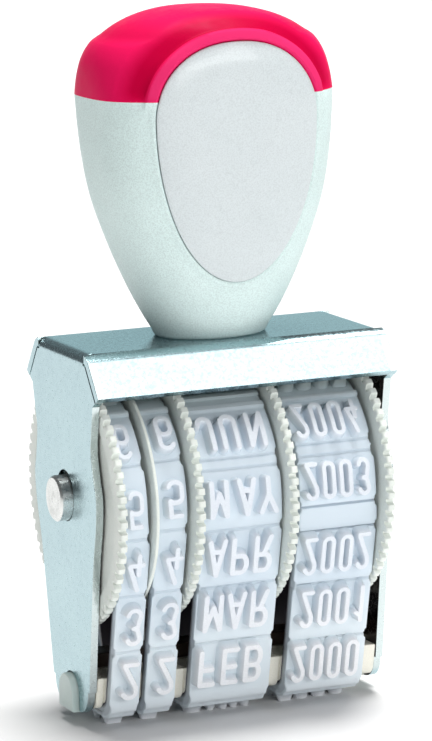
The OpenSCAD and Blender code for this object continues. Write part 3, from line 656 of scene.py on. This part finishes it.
def bandPiece(node, plan):
    low, high = nodeBox(node)

    def onDrum(x, s):
        # The band is pulled a little narrower where it is stretched over the drum, towards its left edge
        near = (fromMiddle(s) - straightEnd + loopPlan["narrowBefore"]) / loopPlan["narrowLength"]
        return low[0] + (x - low[0]) * (1 - plan["narrow"] * smoothStep(near))

    middle, half = (low[0] + high[0]) / 2, (high[0] - low[0]) / 2
    s = bandSamples(plan)
    # A groove is 1 - smoothStep of the distance from its line, and the side is drawn in over a wider stretch
    rise, pull = np.full(len(s), loopPlan["field"]), np.zeros(len(s))
    for place, depth, width in plan["grooves"]:
        away = np.abs(s - place)
        rise -= depth * (1 - smoothStep((away - 0.25 * width) / width))
        pull = np.maximum(pull, 1 - smoothStep((away - 0.35) / 0.25))
    for place, height, width in plan["bars"]:
        rise += height * (1 - smoothStep((np.abs(s - place) - width / 2) / loopPlan["barEdge"]))
    rise = np.maximum(rise, loopPlan["leastField"])
    cornerMiddle = (cornerY + cornerEnd) / 2
    rise += loopPlan["cornerBump"] * np.exp(-((np.abs(s) - cornerMiddle) / loopPlan["cornerSpan"]) ** 2)
    base, top = loopPlan["base"], loopPlan["base"] + rise
    inner, outer = half - loopPlan["sideInset"], half - loopPlan["notch"] * pull
    step = np.minimum(base + 0.05, top - 0.05)
    # The right side from the inner loop to the middle of the field, as (out from the middle, out from the loop)
    side = [(inner, 0), (inner, step - 0.12), (outer, step), (outer, top - 0.16), (outer - 0.04, top - 0.05),
            (outer - 0.14, top), (outer - 0.4, top), (outer * 0.5, top), (0, top)]
    columns = [(-a, b) for a, b in side] + side[-2::-1] + [(0, 0)]
    ones = np.ones(len(s))
    x, t = (np.stack([k * ones for k in part], 1) for part in zip(*columns))
    y, z = loopPoint(s[:, None], t)
    points = np.stack([onDrum(middle + x, s[:, None]), y, z], -1)
    parts = [patch(points, True, True)]
    for label, place, squeeze in plan["rows"]:
        # The row that prints is worn broader
        worn = place == loopPlan["printPlace"]
        draft, stroke = plan["draft"] + 0.2 * worn, plan["stroke"] * (1 + 0.3 * worn)
        nudge = plan["nudges"].get(place, [0] * len(label))
        for k, character in enumerate(label):
            key = (character, plan["letterWidth"], loopPlan["letterHeight"], stroke, loopPlan["type"], draft)
            if key not in glyphStore:
                glyphStore[key] = raisedGlyph(*key)
            layers, faces = glyphStore[key]
            glyphS = place + layers[:, 1] * squeeze
            across = middle + nudge[k] + (k - (len(label) - 1) / 2) * plan["pitch"] + layers[:, 0]
            y, z = loopPoint(glyphS, base + loopPlan["field"] + layers[:, 2])
            parts.append((np.stack([onDrum(across, glyphS), y, z], -1), faces))
    return parts


def depthOf(points):
    # How far a place lies outside the bands' inner loop, in mm. The cases are the level run, the arc at the shoe,
    # the straight lean and the arc round the drum, told apart by the place along the lean.
    y, z = np.abs(points[:, 1]), points[:, 2]
    dy, dz = y - cornerY, z - cornerZ
    along = dy * math.sin(lean) + dz * math.cos(lean)
    return np.select(
        [(dy < 0) & (dz < 0), along < 0, along < straightEnd - cornerEnd],
        [loopLow - z, np.hypot(dy, dz) - cornerRadius, dy * math.cos(lean) - dz * math.sin(lean) - cornerRadius],
        np.hypot(y, z - axleZ) - drumRadius)


def writeValues(piece, name, rule):
    # Keeps rule(points in mm) as an attribute of the piece's mesh
    mesh = piece.data
    points = np.empty(len(mesh.vertices) * 3)
    mesh.vertices.foreach_get("co", points)
    values = rule(points.reshape(-1, 3) / mm)
    mesh.attributes.new(name, "FLOAT", "POINT").data.foreach_set("value", values.astype(np.float32))


def bandRows(labels, front, top):
    # The first label prints. The next ones go up the front, one lies on top, and the rest come down the back.
    # Round the drum a character's foot is shorter along the inner loop than its face.
    places = [loopPlan["printPlace"]] + [-place for place in front] + [top, 35.6, 28.4, 21.1, 13.8, 6.5]
    return [(label, place, 0.74 if abs(place) > straightEnd else 1.0) for label, place in zip(labels, places)]


def frontGrooves(*places, depth=0.16, width=0.17):
    return [(-place, depth, width) for place in places]


backGrooves = [(place, 0.26, 0.14) for place in (3.9, 10.2, 17.5, 24.8, 32.0, 39.2)]
months = ["JAN", "FEB", "MAR", "APR", "MAY", "JUN", "JUL", "AUG", "SEP", "OCT", "NOV", "DEC"]
years = ["i999"] + [str(2000 + k) for k in range(11)]
dayLabels = list("i23456789012")
# Places are mm along the inner loop. Bars and grooves are (place, height or depth, width). A nudge moves the
# characters of the row at its place sideways, as they stand in the photograph.
dayType = {"letterWidth": 1.85, "pitch": 2, "stroke": 0.5, "draft": 0.18, "bars": [(-34.6, 0.35, 0.35)]}
bandPlans = {
    "day_tens": dayType | {
        "narrow": 0.114, "nudges": {-31.4: [-0.7], -25.8: [-0.25], -19.9: [-0.2]},
        "rows": bandRows(dayLabels, [8.0, 14.0, 19.9, 25.8, 31.4], -37.6),
        "grooves": backGrooves + frontGrooves(4.5, 10.75, 16.9, 22.95, 29.5)},
    "day_units": dayType | {
        "narrow": 0.0, "nudges": {},
        "rows": bandRows(dayLabels, [8.1, 14.2, 20.2, 26.35, 31.8], -38.0),
        "grooves": backGrooves + frontGrooves(4.5, 10.75, 17.0, 23.55, 29.65)},
    "month": {
        "letterWidth": 2.12, "pitch": 2.46, "stroke": 0.55, "draft": 0.2, "narrow": 0.017,
        "rows": bandRows(months, [8.3, 14.45, 20.5, 25.9, 31.3], -37.9),
        "bars": [(-34.2, 0.3, 0.45), (-35.6, 0.3, 0.4)],
        "grooves": backGrooves + frontGrooves(4.5, 10.65, 16.8, 22.95, 29.3, 28.35),
        "nudges": {-31.3: [-0.82, -0.75, -0.33], -25.9: [-0.42, 0.1, -0.03], -20.5: [-0.5] * 3,
                   -14.45: [-0.42] * 3, -8.3: [-0.62] * 3}},
    "year": {
        "letterWidth": 1.5, "pitch": 1.95, "stroke": 0.48, "draft": 0.18, "narrow": 0.031,
        "rows": bandRows(years, [7.5, 13.6, 19.5, 26.55, 31.6], -37.0), "bars": [(-34.3, 0.4, 0.35)],
        "grooves": backGrooves + frontGrooves(4.4, 9.55, 15.85, 29.8, 28.7)
        + frontGrooves(24.25, 21.75, depth=0.3, width=0.12),
        "nudges": {-31.6: [-0.55, -0.5, -0.4, -0.5], -26.55: [-0.4, -0.42, -0.48, -0.45],
                   -19.5: [-0.3, -0.3, -0.3, -0.4], -13.6: [-0.15] * 4, -7.5: [-0.5] * 4}},
}
for name, plan in bandPlans.items():
    node = name + "_band"
    band = makePiece(name + "_type", bandPiece(node, plan), "band_rubber", node, sharpAngle=42)
    writeValues(band, "depth", depthOf)
print("bands made, with", len(glyphStore), "kinds of raised character")


# Shoe under the bands
shoePlan = {
    "half": 15.14, "topHalf": 5.25, "top": 5.35, "ribHalf": 1.6, "ribTop": 6.95, "edge": 0.1, "bandRoom": 0.08,
    # The core between the bands and the fins under them: half depth, lowest place and radius of the lower edges
    "core": (4.7, 2.5, 0.9), "fin": (4.45, 2.0, 1.0),
    "stubRadius": 1.9, "stubHeight": 3.1, "stubEnd": 16.7, "stubDrop": 1.75,
}


def shoeOutline(form, plan, shrink=0.0):
    # Section across the shoe: rounded lower edges, sides that open upwards, a flat top and the rib along its middle
    half, low, radius = form
    top, rib, ribTop = plan["top"] - shrink, plan["ribHalf"], plan["ribTop"]
    half, low, wide = half - shrink, low + shrink, plan["topHalf"] - shrink
    right = [(half, low), (wide, top), (rib, top), (rib, ribTop)]
    corners = [(-half, low)] + right + [(-rib, ribTop), (-rib, top), (-wide, top)]
    return roundOff(corners, [radius, radius, 0.15, 0.12, 0.2, 0.2, 0.12, 0.15], 5)


def closedTube(rows):
    # Sections of equal length joined one to the next, with a flat face at either end
    rows = np.array(rows)
    count, columns = rows.shape[:2]
    ends = [list(range(columns)), list(range((count - 1) * columns, count * columns))]
    return rows, gridFaces(count, columns, False, True) + ends


def shoeBody(plan):
    # Sections stand at places along X. At each side of a fin the section steps out through a small chamfer.
    core, fin = shoeOutline(plan["core"], plan), shoeOutline(plan["fin"], plan)
    finSide, edge = shoeOutline(plan["fin"], plan, plan["edge"]), plan["edge"]
    sides = [-plan["half"]]
    for name in bandPlans:
        low, high = nodeBox(name + "_band")
        sides += [low[0] - plan["bandRoom"], high[0] + plan["bandRoom"]]
    sides.append(plan["half"])
    stations = []
    for left, right in zip(sides[::2], sides[1::2]):
        stations += [(left, core), (left, finSide), (left + edge, fin)]
        stations += [(right - edge, fin), (right, finSide), (right, core)]
    return closedTube([np.column_stack([np.full(len(shape), x), shape]) for x, shape in stations[1:-1]])


def shoeStub(plan, side):
    # A stub with an arched top that runs straight down: its outline is carried along X with a rounded end
    r, z = plan["stubRadius"], plan["stubHeight"]
    arch = np.linspace(0, math.pi, 25)
    outline = np.column_stack([r * np.cos(arch), z + r * np.sin(arch)])
    outline = np.concatenate([outline, [(-r, z - plan["stubDrop"]), (r, z - plan["stubDrop"])]])
    centre, end = np.array([0, z]), plan["stubEnd"]
    steps = [(plan["half"] - 0.5, 1.0), (end - 0.2, 1.0), (end - 0.06, 0.975), (end, 0.91)]
    return closedTube([np.column_stack([np.full(len(outline), side * x), centre + (outline - centre) * scale])
                       for x, scale in steps])


shoeParts = [shoeBody(shoePlan), shoeStub(shoePlan, -1), shoeStub(shoePlan, 1)]
makePiece("shoe_bar", shoeParts, "shoe_plastic", "shoe", sharpAngle=40, flatFaces=True)
print("shoe made")


# Folded frame, screw and washer
edgePlan = {"merge": 0.002, "flat": 1.0, "sharp": 38, "width": 0.13, "segments": 2}


def softenedFrame(plan):
    # The node's own shape with its doubles merged, its flat faces whole and its edges slightly rounded
    mesh = nodes["frame"].data.copy()
    mesh.name = "folded_frame"
    work = bmesh.new()
    work.from_mesh(mesh)
    bmesh.ops.remove_doubles(work, verts=work.verts, dist=plan["merge"] * mm)
    bmesh.ops.dissolve_limit(work, angle_limit=math.radians(plan["flat"]), verts=work.verts, edges=work.edges)
    work.to_mesh(mesh)
    work.free()
    mesh.materials.clear()
    piece = dressMesh("folded_frame", mesh, "plated_sheet", "frame", sharpAngle=plan["sharp"])
    bevel = piece.modifiers.new("softEdges", "BEVEL")
    bevel.width = plan["width"] * mm
    bevel.segments = plan["segments"]
    bevel.limit_method = "ANGLE"
    bevel.angle_limit = math.radians(plan["sharp"])
    bevel.harden_normals = True
    piece.modifiers.new("flatFaces", "WEIGHTED_NORMAL").keep_sharp = True


softenedFrame(edgePlan)

screwPlan = {
    "roofUnder": 37.3, "sheet": 0.8, "head": 2.5, "headHeight": 1.2, "crown": 0.55, "shank": 2.0, "length": 12.0,
    "washer": 0.5, "washerOuter": 2.9, "washerBore": 2.05, "washerEdge": 0.1,
    "slotWidth": 0.7, "slotDepth": 0.55, "slotReach": 1.5, "slotSoft": 0.16, "segments": 96,
    # Radii of the grid's rings outside the recess, closer where the dome bends down to its edge
    "rings": [1.9, 2.2, 2.38, 2.47],
}


def turnUpright(radius, z, plan):
    # Points at a radius from the Z axis, for each angle
    angle = evenTurn(plan["segments"])[:, None]
    return np.stack(np.broadcast_arrays(radius * np.cos(angle), radius * np.sin(angle), z), -1)


def panHead(plan):
    # Polar grid over the head: a low dome with a cross recess whose depth falls off away from its two arms. Then the
    # head's upper side and the shank, as (radius, height) pairs.
    top, head, shank = plan["roofUnder"] - plan["washer"], plan["head"], plan["shank"]
    end = plan["roofUnder"] + plan["sheet"] + plan["length"]
    angle = evenTurn(plan["segments"])[:, None]
    ring = np.concatenate([np.linspace(0, plan["slotReach"] + 0.05, 16), plan["rings"], [head]])
    arms = np.minimum(np.abs(ring * np.cos(angle)), np.abs(ring * np.sin(angle)))
    slot = plan["slotDepth"] * smoothStep((plan["slotWidth"] / 2 + plan["slotSoft"] / 2 - arms) / plan["slotSoft"])
    slot = slot * smoothStep((plan["slotReach"] - ring) / 0.2)
    dome = top - plan["headHeight"] + plan["crown"] * (ring / head) ** 4 + slot
    rest = np.array([
        (head, top), (shank + 0.02, top), (shank, top), (shank, end - 0.3), (shank - 0.3, end), (0, end)])
    z = np.concatenate([dome, np.broadcast_to(rest[:, 1], (len(dome), len(rest)))], 1)
    return patch(turnUpright(np.concatenate([ring, rest[:, 0]]), z, plan), True, False)


def washerRing(plan):
    # A rectangle with rounded corners turned about Z
    bore, outer, high = plan["washerBore"], plan["washerOuter"], plan["roofUnder"]
    low = high - plan["washer"]
    section = roundOff([(bore, low), (outer, low), (outer, high), (bore, high)], plan["washerEdge"], 3)
    return patch(turnUpright(section[:, 0], section[:, 1], plan), True, True)


makePiece("pan_head_screw", [panHead(screwPlan)], "steel", "handle_screw", flatFaces=True)
makePiece("thin_washer", [washerRing(screwPlan)], "steel", "screw_washer")
print("frame made")


# Handle, cap and oval panels
handlePlan = {
    # Height, half width and half depth
    "foot": (38.1, 5.45, 4.45), "joint": (62.4, 12.4, 9.6), "top": (70.85, 0, 0),
    # Share of the height to the joint, share of the widening in width and in depth, roundness
    "bodyRows": [(0, 0, 0, 2), (0.008, 0.039, 0.058, 2.02), (0.035, 0.082, 0.155, 2.06), (0.097, 0.201, 0.346, 2.13),
                 (0.212, 0.388, 0.584, 2.32), (0.377, 0.61, 0.796, 2.57), (0.578, 0.827, 0.934, 2.83),
                 (0.784, 0.941, 0.986, 2.99), (1, 1, 1, 3)],
    # Share of the cap's height, share of the widest half width and half depth, roundness
    "capRows": [(0, 1, 1, 3), (0.2, 0.994, 0.996, 2.75), (0.42, 0.968, 0.985, 2.45), (0.6, 0.906, 0.953, 2.2),
                (0.75, 0.79, 0.915, 2.05), (0.86, 0.626, 0.835, 2), (0.94, 0.43, 0.659, 2), (0.985, 0.25, 0.39, 2),
                (1, 0.0, 0.0, 2)],
    # The outline of the panels: half width, lowest, widest and highest place, powers of the upper half's curve
    "panelHalf": 8.5, "panelLow": 44.1, "panelWide": 60.4, "panelHigh": 67.95, "panelPowers": (0.92, 0.96),
    "outlineSteps": 150, "recess": 0.7, "panelProud": 0.2, "gap": 0.07,
    # Relief of the skin: how far the rim, the valley, the crease and the bead stand out or in, and for the start or
    # end of each its distance from the outline and the length over which it comes or goes
    "rim": 0.42, "rimEnd": (1.0, 0.5), "valley": -0.55, "valleyStart": (0.9, 0.8), "valleyEnd": (1.9, 3.2),
    "crease": -0.2, "creaseStart": (1.3, 1.2), "creaseZ": 68.5, "creaseAbove": 2, "creaseBelow": 1,
    "bead": 0.12, "beadEnd": (0.25, 0.5), "lip": 0.16, "capBlend": 2.4,
}


def smoothRows(rows, steps):
    # A smooth curve through the rows, whose slope at each follows its two neighbours, with steps for each stretch
    rows = np.asarray(rows, float)
    padded = np.concatenate([rows[:1], rows, rows[-1:]])
    t = np.linspace(0, 1, steps, endpoint=False)[:, None]
    out = []
    for a, b, c, d in zip(padded[:-3], padded[1:-2], padded[2:-1], padded[3:]):
        out.append(b + 0.5 * t * (c - a + t * (2 * a - 5 * b + 4 * c - d + t * (3 * (b - c) + d - a))))
    return np.concatenate(out + [rows[-1:]])


def handleSections(plan):
    # A fine table of sections from foot to crown: height, half width, half depth, roundness, and q, the length
    # of the front's middle line from the foot
    body, cap = smoothRows(plan["bodyRows"], 24), smoothRows(plan["capRows"], 48)[1:]
    foot, joint, top = (np.array([*plan[k], 0]) for k in ("foot", "joint", "top"))
    # Each column runs from its value at the foot to the one at the joint, and in the cap on to the top
    bodyTable = foot + (joint - foot) * body
    capTable = np.column_stack([joint[0] + (top[0] - joint[0]) * cap[:, 0], joint[1:3] * cap[:, 1:3], cap[:, 3]])
    bodyTable[:, 3] = body[:, 3]
    table = np.concatenate([bodyTable, capTable])
    step = np.hypot(np.diff(table[:, 0]), np.diff(table[:, 2]))
    return np.column_stack([table, np.concatenate([[0], np.cumsum(step)])])


sections = handleSections(handlePlan)


def sectionAt(q):
    return [np.interp(q, sections[:, 4], sections[:, k]) for k in range(4)]


def lengthAt(z):
    return np.interp(z, sections[:, 0], sections[:, 4])


jointQ = float(lengthAt(handlePlan["joint"][0]))


def frontPoint(x, q):
    # The front face above the place x across and q up the middle line
    x, q = np.broadcast_arrays(x, q)
    z, wide, deep, n = sectionAt(q)
    share = np.clip(np.abs(x) / np.maximum(wide, 1e-6), 0, 1)
    return np.stack([x, -deep * (1 - share ** n) ** (1 / n), z], -1)


def ringPoint(angle, q):
    # The section at q, at an angle counted in the section's own proportions
    angle, q = np.broadcast_arrays(angle, q)
    z, wide, deep, n = sectionAt(q)
    c, s = np.cos(angle), np.sin(angle)
    radius = (np.abs(c) ** n + np.abs(s) ** n) ** (-1 / n)
    return np.stack([wide * radius * c, deep * radius * s, z], -1)


def skinNormal(points):
    # The outward normal of the skin, from the slopes of |x/w|^n + |y/d|^n = 1 with w, d and n following z
    x, y, z = points[..., 0], points[..., 1], points[..., 2]
    q = lengthAt(z)

    def level(px, py, pq):
        _, wide, deep, n = sectionAt(pq)
        return (np.abs(px) / np.maximum(wide, 1e-3)) ** n + (np.abs(py) / np.maximum(deep, 1e-3)) ** n

    h = 0.02
    slope = np.interp(q, sections[:, 4], np.gradient(sections[:, 0], sections[:, 4]))
    gx = (level(x + h, y, q) - level(x - h, y, q)) / (2 * h)
    gy = (level(x, y + h, q) - level(x, y - h, q)) / (2 * h)
    gz = (level(x, y, q + h) - level(x, y, q - h)) / (2 * h) / np.maximum(slope, 0.02)
    normal = np.stack([gx, gy, gz], -1)
    return normal / np.maximum(np.linalg.norm(normal, axis=-1, keepdims=True), 1e-9)


def panelEdge(plan):
    # Right half of the panels' outline in (x, q), from its lowest point to its highest: half an ellipse below the
    # widest place and a slightly squarer one above. One sample falls exactly on the joint.
    a = np.linspace(-math.pi / 2, math.pi / 2, 4000)
    high, count = a > 0, plan["outlineSteps"]
    tall = np.where(high, plan["panelHigh"] - plan["panelWide"], plan["panelWide"] - plan["panelLow"])
    powerX, powerZ = (np.where(high, power, 1.0) for power in plan["panelPowers"])
    x = plan["panelHalf"] * np.abs(np.cos(a)) ** powerX
    z = plan["panelWide"] + tall * np.sign(np.sin(a)) * np.abs(np.sin(a)) ** powerZ
    x[0] = x[-1] = 0
    line = np.column_stack([x, lengthAt(z)])
    length = np.concatenate([[0], np.cumsum(np.linalg.norm(np.diff(line, axis=0), axis=1))])
    joint = np.interp(jointQ, line[:, 1], length)
    lowCount = int(round(count * joint / length[-1]))
    where = np.concatenate([np.linspace(0, joint, lowCount + 1),
                            np.linspace(joint, length[-1], count - lowCount + 1)[1:]])
    edge = np.column_stack([np.interp(where, length, line[:, k]) for k in (0, 1)])
    edge[lowCount, 1] = jointQ
    way = unit(np.gradient(edge, axis=0))
    angle = np.unwrap(np.arctan2(-way[:, 0], way[:, 1]))
    angle[0], angle[-1] = -math.pi / 2, math.pi / 2
    # The direction away from the panel is level at the joint, so that the joint stays one line of the grid
    angle -= angle[lowCount] * np.exp(-((where - joint) / 3) ** 2)
    return edge, np.column_stack([np.cos(angle), np.sin(angle)]), lowCount


edgeLine, edgeOut, jointIndex = panelEdge(handlePlan)
outlineSpace = frontPoint(edgeLine[:, 0], edgeLine[:, 1])


def reliefOf(points):
    # How far the skin stands out: a rolled rim round the panel's top in the cap with a valley behind it, a crease
    # round the crown that runs into the valley, and a fine groove with a low bead round the panel in the handle.
    # Distance is measured in space to the outline, some points at a time to save memory.
    plan = handlePlan
    front = np.stack([np.abs(points[..., 0]), -np.abs(points[..., 1]), points[..., 2]], -1)
    flat = front.reshape(-1, 3)
    away = np.full(len(flat), 1e3)
    for first in range(0, len(flat), 4000):
        gap = flat[first:first + 4000, None] - outlineSpace[None]
        away[first:first + 4000] = np.sqrt((gap ** 2).sum(-1)).min(1)
    away = away.reshape(points.shape[:-1])

    def past(place):
        start, length = plan[place]
        return smoothStep((away - start) / length)

    onCap = smoothStep((points[..., 2] - plan["joint"][0] + plan["capBlend"] / 2) / plan["capBlend"])
    lip = 1 - smoothStep((plan["lip"] - away) / plan["lip"])
    rim = plan["rim"] * lip * (1 - past("rimEnd"))
    valley = plan["valley"] * past("valleyStart") * (1 - past("valleyEnd"))
    # The crease is sharp below, towards the shoulder, and fades slowly above, towards the crown
    over = points[..., 2] - plan["creaseZ"]
    fade = smoothStep(np.where(over > 0, over / plan["creaseAbove"], -over / plan["creaseBelow"]))
    crease = plan["crease"] * (1 - fade) * past("creaseStart")
    bead = plan["bead"] * lip * (1 - past("beadEnd"))
    return onCap * (rim + np.minimum(valley, crease)) + (1 - onCap) * bead


def raised(points):
    return points + skinNormal(points) * reliefOf(points)[..., None]


def mirrored(part, *axes):
    points, faces = part
    turn = np.ones(3)
    turn[list(axes)] = -1
    return points * turn, [face[::-1] for face in faces] if len(axes) % 2 else faces


# Distances from the panels' outline, and samples across half of a section
collarSteps = np.array([0, 0.04, 0.1, 0.18, 0.3, 0.5, 0.75, 0.95, 1.05, 1.15, 1.25, 1.35, 1.45, 1.6, 1.8, 2.05, 2.35,
                        2.65, 3.0])
halfShare = np.linspace(-1, 1, 72)


def skinParts(rows, ringLevels):
    # One half of the skin is: a collar round the front panel's outline, a side field from the front collar round to
    # the back one, and whole half rings below or above the panels. Everything is mirrored to the other half.
    x = edgeLine[rows, None, 0] + edgeOut[rows, None, 0] * collarSteps
    q = edgeLine[rows, None, 1] + edgeOut[rows, None, 1] * collarSteps
    collar = frontPoint(np.maximum(x, 0), q)
    _, wide, deep, _ = sectionAt(q[:, -1])
    start = np.arctan2(collar[:, -1, 1] / deep, np.maximum(collar[:, -1, 0], 0) / wide)
    side = ringPoint(-start[:, None] * halfShare, q[:, -1:])
    rings = ringPoint(math.pi / 2 * halfShare, ringLevels[:, None])
    halves = [patch(raised(points)) for points in (collar, side, rings)]
    parts = [form for half in halves for form in (half, mirrored(half, 0))]
    return parts + [mirrored(halves[0], 1), mirrored(halves[0], 0, 1)]


def recessParts(rows, depth):
    # The wall at the panel's outline and the floor under the panel, at the front and at the back
    x, q = edgeLine[rows, 0], edgeLine[rows, 1]
    floorRow = frontPoint(x[:, None] * np.linspace(-1, 1, 25), q[:, None])
    floorRow = floorRow - skinNormal(floorRow) * depth
    wall = patch(np.stack([raised(frontPoint(x, q)), floorRow[:, -1]], 1))
    parts = [patch(floorRow), wall, mirrored(wall, 0)]
    return parts + [mirrored(part, 1) for part in parts]


def shellPiece(name, slot, node, rows, ringLevels):
    parts = skinParts(rows, ringLevels) + recessParts(rows, handlePlan["recess"])
    return makePiece(name, parts, slot, node, weld=0.002, lids=True, sharpAngle=40)


lowerRings = np.linspace(0, edgeLine[0, 1] - collarSteps[-1], 24)
upperRings = np.linspace(edgeLine[-1, 1] + collarSteps[-1], sections[-1, 4], 40)
shellPiece("moulded_handle", "handle_plastic", "handle_body", np.arange(jointIndex + 1), lowerRings)
redCap = shellPiece("red_cap", "cap_plastic", "handle_cap", np.arange(jointIndex, len(edgeLine)), upperRings)
writeValues(redCap, "relief", reliefOf)


def panelParts(plan):
    # From the edge inwards: a wall, a small rounded edge and a field that follows the handle's own skin
    inset = np.array([0.0, 0.0, 0.03, 0.09, 0.18, 0.3, 0.6, 1.0]) + plan["gap"]
    rise = np.array([-0.6, -0.12, -0.03, 0.02, 0.04, 0.05, 0.05, 0.05]) + plan["panelProud"] - 0.05
    x, q = (edgeLine[:, None, k] - edgeOut[:, None, k] * inset for k in (0, 1))
    x[0], x[-1] = 0, 0
    x = np.maximum(x, 0)

    def lifted(points, height):
        return patch(points + skinNormal(points) * height)

    across = np.linspace(-1, 1, 49)
    ring = lifted(frontPoint(x, q), rise[:, None])
    field = lifted(frontPoint(x[:, -1:] * across, q[:, -1:]), rise[-1])
    back = lifted(frontPoint(x[:, :1] * across, q[:, :1]), rise[0])
    return [ring, mirrored(ring, 0), field, back]


frontPanel = panelParts(handlePlan)
makePiece("front_oval_panel", frontPanel, "panel_plastic", "front_panel", weld=0.002)
makePiece("back_oval_panel", [mirrored(part, 1) for part in frontPanel], "panel_plastic", "back_panel", weld=0.002)
print("handle made")


# Floor and studio light
floorPlan = {
    "halfSize": 6000.0, "colour": (0.74, 0.74, 0.745), "sockets": {"Roughness": 0.8, "Specular IOR Level": 0.1},
}


def paleFloor(plan):
    material, tree, shader = newMaterial("paleFloor")
    setInputs(shader, {"Base Color": (*plan["colour"], 1), **plan["sockets"]})
    size = plan["halfSize"] * mm
    mesh = bpy.data.meshes.new("paleFloor")
    mesh.from_pydata([(-size, -size, 0), (size, -size, 0), (size, size, 0), (-size, size, 0)], [], [(0, 1, 2, 3)])
    mesh.materials.append(material)
    addObject("paleFloor", mesh)


paleFloor(floorPlan)
lightPlan = {
    "sky": (0.93, 0.97, 1.0), "skyStrength": 0.15, "aim": (0, 0, 35),
    # A wide soft sun: direction it comes from, width in degrees, strength, colour
    "sun": ((0.14, 0.13, 0.98), 32.0, 4.7, (1.0, 0.99, 0.97)),
    # Soft boxes: name, place in mm, size in mm, watts, colour
    "boxes": [
        ("frontFill", (110, -640, 240), (480, 150), 1.75, (1.0, 1.0, 1.0)),
        ("skirtBox", (172, -191, 419), (190, 150), 0.27, (1.0, 0.93, 0.92)),
        ("backCard", (410, 1000, 210), (1200, 400), 0.85, (0.62, 0.95, 1.0)),
    ],
}


def addLamp(name, kind, place, energy, colour):
    data = bpy.data.lights.new(name, kind)
    data.energy, data.color = energy, colour
    lamp = addObject(name, data)
    lamp.location = place
    lamp.rotation_mode = "QUATERNION"
    lamp.rotation_quaternion = (Vector(lightPlan["aim"]) * mm - place).to_track_quat("-Z", "Y")
    return data


def softLights(plan):
    world = bpy.data.worlds.new("studio")
    bpy.context.scene.world = world
    world.use_nodes = True
    setInputs(world.node_tree.nodes["Background"], {"Color": (*plan["sky"], 1), "Strength": plan["skyStrength"]})
    way, width, strength, colour = plan["sun"]
    addLamp("softSun", "SUN", Vector(way), strength, colour).angle = math.radians(width)
    for name, place, size, watts, colour in plan["boxes"]:
        box = addLamp(name, "AREA", Vector(place) * mm, watts, colour)
        box.shape = "RECTANGLE"
        box.size, box.size_y = size[0] * mm, size[1] * mm


softLights(lightPlan)
bpy.context.scene.view_settings.view_transform = "Standard"
print("floor and lights placed")
